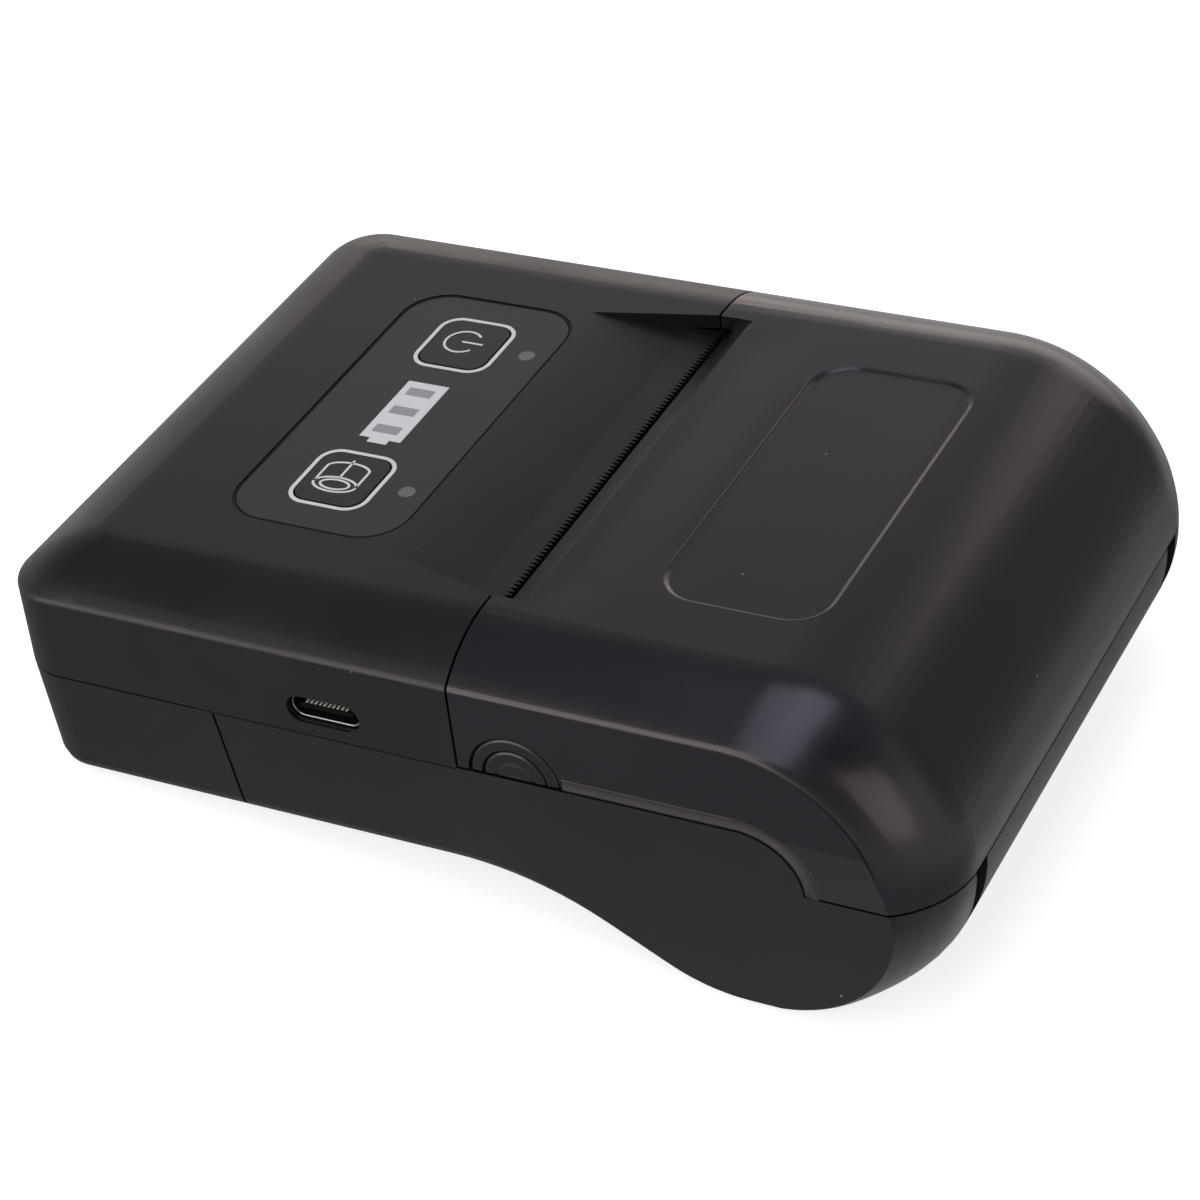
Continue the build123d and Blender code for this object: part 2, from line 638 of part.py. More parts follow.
def cover_space(gap):
    """Everything above the cover's lower edge and behind the front seam."""
    low = HORN_Z + gap
    arc = HORN_RADIUS + gap
    end = HORN_X + sqrt(arc ** 2 - gap ** 2)
    outline = Polyline((end, low), (FAR, low), (FAR, FAR), (COVER_X + gap, FAR),
                       (COVER_X + gap, SEAM_Z + gap), (HORN_X, SEAM_Z + gap))
    outline += ThreePointArc((HORN_X, SEAM_Z + gap), polar((HORN_X, HORN_Z), arc, 45), (end, low))
    return side_slab(outline, -FAR, FAR) - hinge_barrel(gap)


def ramp_z(x):
    """Height of the tear ramp."""
    return HEIGHT - RAMP_DROP * (x - RAMP_X) / (COVER_X - RAMP_X)


def ramp_plan(grow):
    """Plan outline of the tear ramp, carried through all heights."""
    slope = (SLOT_HALF - RAMP_HALF) / (COVER_X - RAMP_X)
    far_x = COVER_X + CUT
    low, high = RAMP_HALF - slope * grow + grow, RAMP_HALF + slope * (far_x - RAMP_X) + grow
    outline = Polyline((RAMP_X - grow, -low), (far_x, -high), (far_x, high), (RAMP_X - grow, low), close=True)
    return extrude(make_face(outline), 2 * HEIGHT)


def ramp_sheet(low, high, x0=RAMP_X, x1=COVER_X):
    """Layer between two offsets from the tear ramp."""
    outline = Polyline((x0, ramp_z(x0) + low), (x1, ramp_z(x1) + low), (x1, ramp_z(x1) + high),
                       (x0, ramp_z(x0) + high), close=True)
    return side_slab(outline, -FAR, FAR)


# Housings


def upper_housing(outer, inner):
    """Front half of the top with tear ramp, panel recess, USB opening, board posts and screw bosses."""
    space = block(-FAR, COVER_X, -FAR, FAR, SEAM_Z, FAR)
    shell = (outer - inner) & space
    solid = outer & space
    shell += ramp_sheet(-RAMP_SKIN, BLEND, RAMP_X - RAMP_SKIN) & ramp_plan(RAMP_SKIN) & solid
    shell -= ramp_sheet(0, 2 * RAMP_DROP, RAMP_X, COVER_X + CUT) & ramp_plan(0)
    shell -= tear_bar_seat()
    for x, y in BOARD_POSTS:
        shell += post(x, y, POST_RADIUS, BOARD_TOP, HEIGHT - WALL / 2)
        shell -= post(x, y, BOARD_SCREW_RADIUS, BOARD_TOP, BOARD_TOP + BOARD_SCREW_GRIP)
    for x, y in HOUSING_SCREWS:
        shell += post(x, y, BOSS_RADIUS, SEAM_Z, HEIGHT) & solid
        shell -= post(x, y, SCREW_RADIUS, SEAM_Z, HOUSING_SCREW_TOP)
    for y in (-RIB_Y, 0, RIB_Y):
        shell += block(RIB_X0, RIB_X1, y - RIB / 2, y + RIB / 2, HEIGHT - WALL - RIB_DEPTH, HEIGHT - WALL / 2)
    shell -= tablet(PANEL_X, 0, PANEL_LENGTH + 2 * PANEL_FIT, PANEL_WIDTH + 2 * PANEL_FIT,
                    PANEL_ROUND + PANEL_FIT, PANEL_LOW, HEIGHT + CUT)
    for side in (-1, 1):
        shell -= key_opening(side)
        shell -= post(LIGHT_X, side * KEY_Y, LIGHT_RADIUS, HEIGHT - WALL - CUT, HEIGHT)
    shell -= gauge_windows(HEIGHT - WALL - CUT, HEIGHT, 0)
    shell -= usb_outline(USB_SLOT_FIT, -SIDE_Y - CUT, -SIDE_Y + WALL + CUT)
    shell -= block(COVER_X - GEAR_RELIEF, COVER_X + CUT, GEAR_Y - GEAR_CLEAR, GEAR_Y + GEAR_FACE + GEAR_CLEAR,
                   PLATEN_Z, HEIGHT - WALL + BLEND)
    return shell


def key_opening(side):
    """Opening for one key through the panel and the housing."""
    return tablet(KEY_X, side * KEY_Y, KEY_LENGTH + 2 * KEY_GAP, KEY_WIDTH + 2 * KEY_GAP, KEY_ROUND + KEY_GAP,
                  HEIGHT - WALL - CUT, HEIGHT + CUT)


def gauge_windows(z0, z1, gap):
    """The three bars of the battery gauge."""
    bars = [tablet(GAUGE_X, GAUGE_Y + step * GAUGE_PITCH, GAUGE_WINDOW_LENGTH + 2 * gap,
                   GAUGE_WINDOW_WIDTH + 2 * gap, GAUGE_WINDOW_ROUND + gap, z0, z1) for step in (-1, 0, 1)]
    return bars[0] + bars[1] + bars[2]


def usb_outline(grow, y0, y1):
    """Rounded slot of the USB socket carried between two Y levels."""
    height = USB_HEIGHT + 2 * grow
    face = side_plane(y1) * Pos(USB_X, USB_Z) * SlotOverall(USB_WIDTH + 2 * grow, height)
    return extrude(face, y1 - y0)


def lower_housing(outer, inner):
    """Belly and paper bulge with shelf over the battery, paper bay, screw bosses and hinge bosses."""
    low = -CUT
    behind = Polyline((line_x(low), low), (line_x(SEAM_Z), SEAM_Z), (FAR, SEAM_Z), (FAR, low), close=True)
    space = side_slab(behind, -FAR, FAR) - cover_space(0)
    solid = outer & space
    shell = solid - inner
    shell += (inner & space) - battery_side(PARTITION)
    shell += shelf()
    shell += paper_bay(solid)
    for side in (-1, 1):
        shell += side_ribs(side) & solid
        shell += closing_tongue(side)
        shell += hinge_bosses(side) & solid
    for x, y in HOUSING_SCREWS:
        shell += post(x, y, LOWER_BOSS_RADIUS, FLOOR_Z, SEAM_Z) & solid
        shell -= post(x, y, COUNTERBORE_RADIUS, 0, HOUSING_SCREW_HEAD_TOP)
        shell -= post(x, y, SCREW_RADIUS + SCREW_PLAY, FLOOR_Z, SEAM_Z)
    for x, y in CHASSIS_SCREWS:
        shell += post(x, y, BOSS_RADIUS, 0, CHASSIS_FOOT_Z) & solid
        shell -= post(x, y, SCREW_RADIUS, CHASSIS_FOOT_Z - CHASSIS_SCREW_GRIP, CHASSIS_FOOT_Z)
    for y in contact_rows():
        shell -= post(CONTACT_X, y, CONTACT_RADIUS, SHELF_Z, SEAM_Z)
    shell -= both_sides(side_disc((HINGE_X, HINGE_Z), HINGE_PIN_RADIUS, HINGE_PIN_Y0, HINGE_PIN_Y1))
    shell -= hinge_slots()
    shell -= seam_groove()
    return shell


def battery_side(wall):
    """Everything further than a wall behind the slanted seam."""
    low, high = -CUT, SEAM_Z + CUT
    outline = Polyline((line_x(low) + wall, low), (line_x(high) + wall, high), (FAR, high), (FAR, low),
                       close=True)
    return side_slab(outline, -FAR, FAR)


def shelf_half():
    """Half width of the shelf, clear of the battery pack's side walls."""
    return SIDE_Y - WALL - LOOSE - SHELF_PLAY


def shelf():
    """Floor of the electronics room, over the battery pack."""
    front = FRONT_X + WALL + LOOSE + SHELF_PLAY / 2
    back = line_x(SEAM_Z)
    half = shelf_half()
    plate = tablet((front + back) / 2, 0, back - front, 2 * half, SHELF_ROUND, SHELF_Z, SEAM_Z)
    return plate + block(back - 2 * SHELF_ROUND, back + PARTITION, -half, half, SHELF_Z, SEAM_Z)


def paper_bay(solid):
    """Side walls and curved front wall of the paper bay."""
    centre = (BULGE_X, BULGE_RADIUS)
    radius = BULGE_RADIUS - WALL
    end = 180 - degrees(asin((BAY_TOP_Z - BULGE_RADIUS) / radius))
    far = radius + BAY_WALL
    outline = Line(polar(centre, radius, end), polar(centre, far, end))
    outline += ThreePointArc(polar(centre, far, end), polar(centre, far, BAY_MIDDLE),
                             polar(centre, far, BAY_STOP))
    outline += Line(polar(centre, far, BAY_STOP), polar(centre, radius, BAY_STOP))
    outline += ThreePointArc(polar(centre, radius, BAY_STOP), polar(centre, radius, BAY_MIDDLE),
                             polar(centre, radius, end))
    bay = side_slab(outline, -BAY_HALF, BAY_HALF)
    for side in (-1, 1):
        y0, y1 = sorted((side * BAY_HALF, side * (BAY_HALF + BAY_WALL)))
        bay += block(CHASSIS_REAR_X + LOOSE, BAY_END_X, y0, y1, 0, BAY_TOP_Z)
    return bay & solid


def side_ribs(side):
    """Ribs between the paper bay and the side wall."""
    y0, y1 = sorted((side * (BAY_HALF + BAY_WALL / 2), side * (SIDE_Y - WALL / 2)))
    ribs = [block(x - RIB / 2, x + RIB / 2, y0, y1, 0, SIDE_RIB_Z) for x in SIDE_RIBS]
    return ribs[0] + ribs[1]


def closing_tongue(side):
    """Tongue that keeps the upper housing's side wall in line."""
    x1 = TONGUE_X0 + TONGUE_LENGTH
    inner_y = SIDE_Y - WALL - TONGUE_THICKNESS
    y0, y1 = sorted((side * inner_y, side * (SIDE_Y - WALL + BLEND)))
    root = block(TONGUE_X0, x1, y0, y1, SEAM_Z - TONGUE_ROOT, SEAM_Z)
    y0, y1 = sorted((side * inner_y, side * (SIDE_Y - WALL - LOOSE)))
    return root + block(TONGUE_X0, x1, y0, y1, SEAM_Z - TONGUE_ROOT, SEAM_Z + TONGUE_HEIGHT)


def hinge_bosses(side):
    """Two bosses that hold one hinge pin, on either side of the arm's slot."""
    slot_low, slot_high = ARM_Y - ARM_SLOT / 2, ARM_Y + ARM_SLOT / 2
    spans = [(HINGE_PIN_Y0 - HINGE_PIN_IN, slot_low), (slot_high, HINGE_PIN_Y1 + HINGE_PIN_IN)]
    bosses = []
    for y0, y1 in spans:
        low, high = sorted((side * y0, side * y1))
        bosses.append(side_disc((HINGE_X, HINGE_Z), KNUCKLE_RADIUS, low, high)
                      - side_disc((HINGE_X, HINGE_Z), HINGE_PIN_RADIUS, low, high))
    return bosses[0] + bosses[1]


def hinge_slots():
    """Slots that the cover's hinge arms swing in."""
    corners = []
    for step in range(SLOT_STEPS + 1):
        reach = SLOT_REACH + (SLOT_BULGE if 0 < step < SLOT_STEPS else 0)
        corners.append(swing_point(SLOT_START + (SLOT_STOP - SLOT_START) * step / SLOT_STEPS, reach))
    y0, y1 = ARM_Y - ARM_SLOT / 2, ARM_Y + ARM_SLOT / 2
    slot = side_slab(Polyline((HINGE_X, HINGE_Z), *corners, close=True), y0, y1)
    return both_sides(slot + side_disc((HINGE_X, HINGE_Z), KNUCKLE_RADIUS + LOOSE, y0, y1))


def swing_point(angle, radius):
    """Point at an angle from +Z towards +X about the cover hinge."""
    return (HINGE_X + radius * sin(radians(angle)), HINGE_Z + radius * cos(radians(angle)))


def seam_groove():
    """Shadow line along both sides, under the upper housing."""
    groove = block(line_x(SEAM_Z) - CUT, COVER_X, SIDE_Y - GROOVE_DEPTH, SIDE_Y + CUT,
                   SEAM_Z - GROOVE, SEAM_Z)
    return both_sides(groove)


def paper_cover(outer, inner):
    """Rear lid with hinge arms, paper lip, window recess, grips and bracket bosses."""
    space = cover_space(SEAM_GAP)
    shell = (outer - inner) & space
    for x, y in BRACKET_SCREWS:
        shell += post(x, y, BOSS_RADIUS, FLANGE_TOP, HEIGHT - WALL / 2)
        shell -= post(x, y, BRACKET_SCREW_RADIUS, FLANGE_TOP, FLANGE_TOP + BRACKET_SCREW_GRIP)
    shell += paper_lip()
    shell -= lip_slope()
    shell += both_sides(hinge_arm()) & outer
    bore = side_disc((HINGE_X, HINGE_Z), HINGE_PIN_RADIUS + RUNNING, ARM_Y - ARM_THICKNESS,
                     ARM_Y + ARM_THICKNESS)
    shell -= both_sides(bore)
    shell -= cover_window()
    shell -= both_sides(grip_recess())
    shell -= both_sides(cover_skirt())
    return shell


def paper_lip():
    """Thick front edge of the cover behind the paper slot."""
    root_x = LIP_X + LIP_ROOT
    outline = Polyline((LIP_X0, LIP_LOW), (LIP_X0, HEIGHT - LIP_DROP), (LIP_X, HEIGHT - LIP_UNDER),
                       (root_x, HEIGHT - LIP_UNDER), (root_x, HEIGHT - WALL), (LIP_X + LIP_FOOT, LIP_LOW),
                       close=True)
    return side_slab(outline, -SLOT_HALF, SLOT_HALF)


def lip_slope():
    """Slope that leads up from the paper slot, and the slot in front of it."""
    slope = LIP_DROP / LIP_LENGTH
    front = COVER_X - CUT
    low, high = HEIGHT - LIP_DROP - slope * (LIP_X0 - front), HEIGHT + slope * CUT
    outline = Polyline((front, low), (LIP_X + CUT, high), (front, high), close=True)
    cut = side_slab(outline, -SLOT_HALF, SLOT_HALF)
    return cut + block(front, LIP_X0, -SLOT_HALF, SLOT_HALF, LIP_LOW - CUT, HEIGHT + CUT)


def cover_skirt():
    """Slanted band along the cover's lower edge, from the grip round the arc."""
    sections = []
    for reach, gap in ((-2 * SKIRT_DEPTH, SEAM_GAP - SKIRT), (SKIRT_DEPTH, SEAM_GAP + 2 * SKIRT)):
        outline = Polyline((HORN_X + HORN_RADIUS + gap, HORN_Z), (HORN_X + HORN_RADIUS + gap, HORN_Z - CUT),
                           (COVER_X, HORN_Z - CUT), (COVER_X, SEAM_Z + gap), (HORN_X, SEAM_Z + gap))
        outline += ThreePointArc((HORN_X, SEAM_Z + gap), polar((HORN_X, HORN_Z), HORN_RADIUS + gap, 45),
                                 (HORN_X + HORN_RADIUS + gap, HORN_Z))
        sections.append(side_plane(SIDE_Y + reach) * make_face(outline))
    wedge = loft(sections, ruled=True)
    straight = wedge & block(GRIP_X + GRIP_RADIUS, HORN_X, 0, FAR, 0, FAR)
    lean = degrees(atan2(FOOT_IN, SEAM_Z - FLOOR_Z - FOOT_ROUND))
    turned = Pos(0, SIDE_Y, SEAM_Z) * Rot(-lean, 0, 0) * Pos(0, -SIDE_Y, -SEAM_Z) * wedge
    return straight + (turned & block(HORN_X, FAR, 0, FAR, 0, FAR))


def hinge_arm():
    """Knuckle and neck of one hinge arm."""
    y0, y1 = ARM_Y - ARM_THICKNESS / 2, ARM_Y + ARM_THICKNESS / 2
    neck = Polyline((HINGE_X, HINGE_Z), swing_point(ARM_LOW, ARM_REACH), swing_point(ARM_HIGH, ARM_REACH),
                    close=True)
    above = block(HINGE_X, FAR, -FAR, FAR, 0, ARM_TOP_Z)
    return (side_slab(neck, y0, y1) & above) + side_disc((HINGE_X, HINGE_Z), KNUCKLE_RADIUS, y0, y1)


def cover_window():
    """Shallow recess with a slanted rim in the top of the cover."""
    level = HEIGHT - WINDOW_SINK
    depth = WINDOW_SINK + WINDOW_FALL
    inset = depth * tan(radians(WINDOW_SLANT))
    floor_plan = RectangleRounded(WINDOW_LENGTH - 2 * inset, 2 * (WINDOW_HALF - inset), WINDOW_ROUND - inset)
    well = extrude(floor_plan, depth + BLEND, taper=-WINDOW_SLANT)
    well = Pos(WINDOW_X0 + WINDOW_LENGTH / 2, 0, HEIGHT - depth) * well
    end = REAR_X - (HEIGHT - HIP_Z)
    x0, x1 = WINDOW_X0 - CUT, WINDOW_X1 + CUT
    floor = Polyline((x0, level), (end, level), (x1, level - WINDOW_FALL), (x1, HEIGHT + CUT),
                     (x0, HEIGHT + CUT), close=True)
    return well & side_slab(floor, -FAR, FAR)


def grip_recess():
    """Round finger grip, cut off by the seam, with rings that slope down to their outer edges."""
    face = SIDE_Y - CREASE_IN / 2
    profile = [(0, face + CUT), (GRIP_RADIUS, face + CUT)]
    for ring in range(GRIP_COUNT):
        outer = GRIP_RADIUS - ring * GRIP_PITCH
        profile += [(outer, face - GRIP_SINK), (outer - GRIP_PITCH, face - GRIP_CREST)]
    profile.append((0, face - GRIP_CREST))
    plane = Plane(origin=(GRIP_X, 0, SEAM_Z))
    return revolve(plane * make_face(Polyline(*profile, close=True)), Axis((GRIP_X, 0, SEAM_Z), (0, 1, 0)))


# Control panel


def control_panel():
    """Thin panel plate with openings for keys, lights and gauge."""
    plate = tablet(PANEL_X, 0, PANEL_LENGTH, PANEL_WIDTH, PANEL_ROUND, PANEL_LOW, PANEL_TOP)
    for side in (-1, 1):
        plate -= key_opening(side)
        plate -= post(LIGHT_X, side * KEY_Y, LIGHT_RADIUS, PANEL_LOW - CUT, PANEL_TOP + CUT)
    return plate - gauge_windows(PANEL_LOW - CUT, PANEL_TOP + CUT, 0)


def battery_gauge_window():
    """Clear plate under the housing with three bars that rise through the panel."""
    z1 = HEIGHT - WALL
    plate = tablet(GAUGE_X, GAUGE_Y, GAUGE_PLATE_LENGTH, GAUGE_PLATE_WIDTH, GAUGE_PLATE_ROUND,
                   z1 - LIGHT_FLANGE, z1)
    return plate + gauge_windows(z1, PANEL_TOP, 0)


def status_light_pipes():
    """Two round light pipes with flanges under the housing."""
    pipes = []
    z1 = HEIGHT - WALL
    for side in (-1, 1):
        pipe = post(LIGHT_X, side * KEY_Y, LIGHT_RADIUS, z1, PANEL_TOP)
        pipes.append(pipe + post(LIGHT_X, side * KEY_Y, LIGHT_RADIUS + LIGHT_RIM, z1 - LIGHT_FLANGE, z1))
    return pipes[0] + pipes[1]


def key_button(side):
    """Key cap with flange and stem."""
    y = side * KEY_Y
    flange_top = HEIGHT - WALL - KEY_REST
    cap = tablet(KEY_X, y, KEY_LENGTH, KEY_WIDTH, KEY_ROUND, flange_top - KEY_FLANGE, KEY_TOP)
    cap += tablet(KEY_X, y, KEY_LENGTH + 2 * KEY_FLANGE, KEY_WIDTH + 2 * KEY_FLANGE, KEY_ROUND + KEY_FLANGE,
                  flange_top - KEY_FLANGE, flange_top)
    return cap + post(KEY_X, y, STEM_RADIUS, PLUNGER_TOP, flange_top - KEY_FLANGE)


def key_plunger(side):
    """Plunger of the switch under a key."""
    return post(KEY_X, side * KEY_Y, PLUNGER_RADIUS, PLUNGER_LOW, PLUNGER_TOP)


def key_switch(side):
    """Switch body on the board, with a well for its plunger and four feet."""
    y = side * KEY_Y
    half = SWITCH_SIZE / 2
    top = BOARD_TOP + SWITCH_HEIGHT
    body = block(KEY_X - half, KEY_X + half, y - half, y + half, BOARD_TOP, top)
    body -= post(KEY_X, y, PLUNGER_RADIUS + LOOSE, PLUNGER_LOW - KEY_TRAVEL - KEY_GAP, top + CUT)
    foot = SWITCH_FOOT_WIDTH / 2
    for sx in (-1, 1):
        x0, x1 = sorted((KEY_X + sx * half, KEY_X + sx * (half + SWITCH_FOOT)))
        for foot_y in (y - SWITCH_FOOT_Y, y + SWITCH_FOOT_Y):
            body += block(x0, x1, foot_y - foot, foot_y + foot, BOARD_TOP, BOARD_TOP + SWITCH_FOOT_HEIGHT)
    return body


# Electronics


def main_circuit_board():
    """Board with notches round the housing bosses, and its driver chips."""
    board = block(BOARD_X0, BOARD_X1, BOARD_Y0, BOARD_Y1, BOARD_Z, BOARD_TOP)
    low, high = BOARD_Z - CUT, BOARD_TOP + CUT
    notch = BOSS_RADIUS + NOTCH_PLAY
    for x, y in HOUSING_SCREWS:
        board -= post(x, y, notch, low, high)
        if y < 0:
            board -= block(x - notch, x + notch, BOARD_Y0 - CUT, y, low, high)
    for x, y in BOARD_POSTS:
        board -= post(x, y, BOARD_SCREW_RADIUS, low, high)
    for x, y, length, width, height in BOARD_CHIPS:
        board += block(x - length / 2, x + length / 2, y - width / 2, y + width / 2,
                       BOARD_TOP, BOARD_TOP + height)
    return board


def status_leds():
    """Small lamps under the light pipes and the gauge."""
    places = [(LIGHT_X, -KEY_Y), (LIGHT_X, KEY_Y)]
    places += [(GAUGE_X, GAUGE_Y + step * GAUGE_PITCH) for step in (-1, 0, 1)]
    return group([block(x - LED_LENGTH / 2, x + LED_LENGTH / 2, y - LED_WIDTH / 2, y + LED_WIDTH / 2,
                        BOARD_TOP, BOARD_TOP + LED_HEIGHT) for x, y in places])


def usb_socket():
    """Metal shell of the socket under the board's edge."""
    y0 = -SIDE_Y + USB_RECESS
    y1 = y0 + USB_DEPTH
    return usb_outline(0, y0, y1) - usb_outline(-USB_SKIN, y0 - CUT, y1 - USB_BACK)


def usb_tongue():
    """Tongue with the contacts inside the socket."""
    y1 = -SIDE_Y + USB_RECESS + USB_DEPTH - USB_BACK
    half = USB_TONGUE_THICKNESS / 2
    return block(USB_X - USB_TONGUE / 2, USB_X + USB_TONGUE / 2, y1 - USB_TONGUE_LENGTH, y1,
                 USB_Z - half, USB_Z + half)


def contact_rows():
    """Y of the battery contacts."""
    return [TERMINAL_PITCH * (i - (TERMINAL_COUNT - 1) / 2) for i in range(TERMINAL_COUNT)]


def battery_contact_pins():
    """Pins from the board through the shelf to the battery's terminals."""
    low = SHELF_Z - CONTACT_REACH
    return group([post(CONTACT_X, y, CONTACT_RADIUS, low, BOARD_Z) for y in contact_rows()])


# Battery pack


def battery_case(outer, inner):
    """Tray with the outer form of the front of the body."""
    space = battery_space(SEAM_GAP, SEAM_Z - BATTERY_GAP)
    case = (outer & space) - (inner & battery_space(SEAM_GAP + CASE_WALL, SEAM_Z + CUT))
    half = shelf_half() + LOOSE
    return case - block(line_x(SEAM_Z) - 3 * CASE_WALL, 0, -half, half, SHELF_Z - LOOSE, SEAM_Z)


def battery_lid(inner):
    """Plate over the cells."""
    layer = block(-FAR, 0, -FAR, FAR, LID_Z, LID_Z + LID_THICKNESS)
    return inner & battery_space(SEAM_GAP + CASE_WALL, SEAM_Z + CUT) & layer


def battery_cells():
    """Two flat lithium cells side by side."""
    x, length = (CELL_X0 + CELL_X1) / 2, CELL_X1 - CELL_X0
    y = CELL_SPACE + CELL_LENGTH / 2
    return group([tablet(x, side * y, length, CELL_LENGTH, CELL_ROUND, CELL_Z, CELL_Z + CELL_HEIGHT)
                  for side in (-1, 1)])


def battery_terminals():
    """Flat contacts on the lid."""
    z0 = LID_Z + LID_THICKNESS
    length, width = TERMINAL_LENGTH / 2, TERMINAL_WIDTH / 2
    return group([block(CONTACT_X - length, CONTACT_X + length, y - width, y + width,
                        z0, z0 + TERMINAL_HEIGHT) for y in contact_rows()])


# Printing chassis


def print_chassis():
    """Two cheeks, foot plate, paper guide and spring beam."""
    inside = CHASSIS_Y
    far = CHASSIS_Y + CHASSIS_WALL
    short = Polyline((CHASSIS_FRONT_X, CHASSIS_FOOT_Z), (CHASSIS_FRONT_X, CHASSIS_TOP_Z),
                     (CHASSIS_REAR_X, CHASSIS_TOP_Z), (CHASSIS_REAR_X, CHASSIS_FOOT_Z), close=True)
    plate_x = PINION_X - MOTOR_RADIUS - MOTOR_EDGE
    top = PINION_Z + MOTOR_RADIUS + MOTOR_EDGE
    corner = MOTOR_RADIUS / 2
    long = Polyline((plate_x, CHASSIS_FOOT_Z), (plate_x, top - corner), (plate_x + corner, top),
                    (CHASSIS_FRONT_X, top),
                    (CHASSIS_FRONT_X, CHASSIS_TOP_Z), (CHASSIS_REAR_X, CHASSIS_TOP_Z),
                    (CHASSIS_REAR_X, CHASSIS_FOOT_Z), close=True)
    frame = side_slab(long, inside, far) + side_slab(short, -far, -inside)
    frame += block(FOOT_PLATE_X, CHASSIS_REAR_X, -inside, inside, CHASSIS_FOOT_Z, CHASSIS_FOOT_Z + FOOT_PLATE)
    frame += paper_guide()
    frame += block(CHASSIS_FRONT_X, CHASSIS_FRONT_X + BEAM, -inside, inside, BEAM_LOW_Z, CHASSIS_TOP_Z)
    frame -= both_sides(platen_notch())
    pivot = (HEAD_PIVOT_X, HEAD_PIVOT_Z)
    frame -= both_sides(side_disc(pivot, HEAD_PIN_RADIUS + RUNNING, inside - CUT, far + CUT))
    frame -= side_disc((PINION_X, PINION_Z), MOTOR_BOSS_RADIUS, inside - CUT, far + CUT)
    frame -= side_disc((IDLER_X, IDLER_Z), AXLE_RADIUS, inside - CUT, far + CUT)
    for x, y in CHASSIS_SCREWS:
        frame -= post(x, y, SCREW_RADIUS, CHASSIS_FOOT_Z - CUT, CHASSIS_FOOT_Z + FOOT_PLATE + CUT)
    return frame


def paper_guide():
    """Curved plate that leads the paper under the platen."""
    centre = (PLATEN_X, PLATEN_Z)
    low, high = PLATEN_RADIUS + GUIDE_GAP, PLATEN_RADIUS + GUIDE_GAP + GUIDE_WALL
    middle = (GUIDE_START + GUIDE_END) / 2
    outline = Line(polar(centre, high, GUIDE_START), polar(centre, low, GUIDE_START))
    outline += ThreePointArc(polar(centre, low, GUIDE_START), polar(centre, low, middle),
                             polar(centre, low, GUIDE_END))
    outline += Line(polar(centre, low, GUIDE_END), polar(centre, high, GUIDE_END))
    outline += ThreePointArc(polar(centre, high, GUIDE_END), polar(centre, high, middle),
                             polar(centre, high, GUIDE_START))
    return side_slab(outline, -CHASSIS_Y, CHASSIS_Y)


def platen_notch():
    """Open notch that the platen's bushing drops into, along the cover's swing."""
    radius = BUSH_RADIUS + NOTCH_GAP
    turn = degrees(atan2(HINGE_X - PLATEN_X, PLATEN_Z - HINGE_Z))
    centre = (PLATEN_X, PLATEN_Z)
    end = polar(centre, NOTCH_REACH, turn)
    outline = Polyline(polar(centre, radius, turn - 90), polar(end, radius, turn - 90),
                       polar(end, radius, turn + 90), polar(centre, radius, turn + 90), close=True)
    y0, y1 = CHASSIS_Y - CUT, CHASSIS_Y + CHASSIS_WALL + CUT
    return side_slab(outline, y0, y1) + side_disc(centre, radius, y0, y1)


def head_heat_sink():
    """Metal plate behind the thermal head with ears and cooling ribs."""
    plate = block(SINK_BACK_X, HEAD_BACK_X, -HEAD_HALF, HEAD_HALF, SINK_LOW_Z, SINK_TOP_Z)
    plate += block(SINK_BACK_X, HEAD_BACK_X, -SINK_EAR, SINK_EAR, SINK_LOW_Z, HEAD_PIVOT_Z + EAR_TOP)
    for row in range(SINK_SLOTS):
        z = SINK_SLOT_Z + row * SINK_SLOT_PITCH
        plate -= block(SINK_BACK_X - CUT, SINK_BACK_X + SINK_SLOT_DEPTH, -SINK_SLOT_HALF, SINK_SLOT_HALF,
                       z, z + SINK_SLOT_WIDTH)
    return plate


def thermal_head():
    """Ceramic plate with its driver strip."""
    plate = block(HEAD_BACK_X, HEAD_FACE_X, -HEAD_HALF, HEAD_HALF, HEAD_LOW_Z, HEAD_TOP_Z)
    half = HEAD_HALF - DRIVER_MARGIN
    return plate + block(HEAD_FACE_X, HEAD_FACE_X + DRIVER_PROUD, -half, half,
                         HEAD_LOW_Z, HEAD_LOW_Z + DRIVER_HEIGHT)


def head_pivot_pins():
    """Two pins that carry the head in the cheeks."""
    pin = side_disc((HEAD_PIVOT_X, HEAD_PIVOT_Z), HEAD_PIN_RADIUS, SINK_EAR, CHASSIS_Y + CHASSIS_WALL - LOOSE)
    return group([pin, mirrored(pin)])


def head_springs():
    """Two coil springs between the beam and the head."""
    x0 = CHASSIS_FRONT_X + BEAM
    length = SINK_BACK_X - x0 - SPRING_WIRE
    path = Helix(length / SPRING_TURNS, length, SPRING_RADIUS)
    wire = Plane(origin=path @ 0, z_dir=path % 0) * Circle(SPRING_WIRE / 2)
    coil = sweep(wire, path=path)
    coil = Pos(x0 + SPRING_WIRE / 2, 0, SPRING_Z) * Rot(0, 90, 0) * coil
    return group([Pos(0, side * SPRING_Y, 0) * coil for side in (-1, 1)])


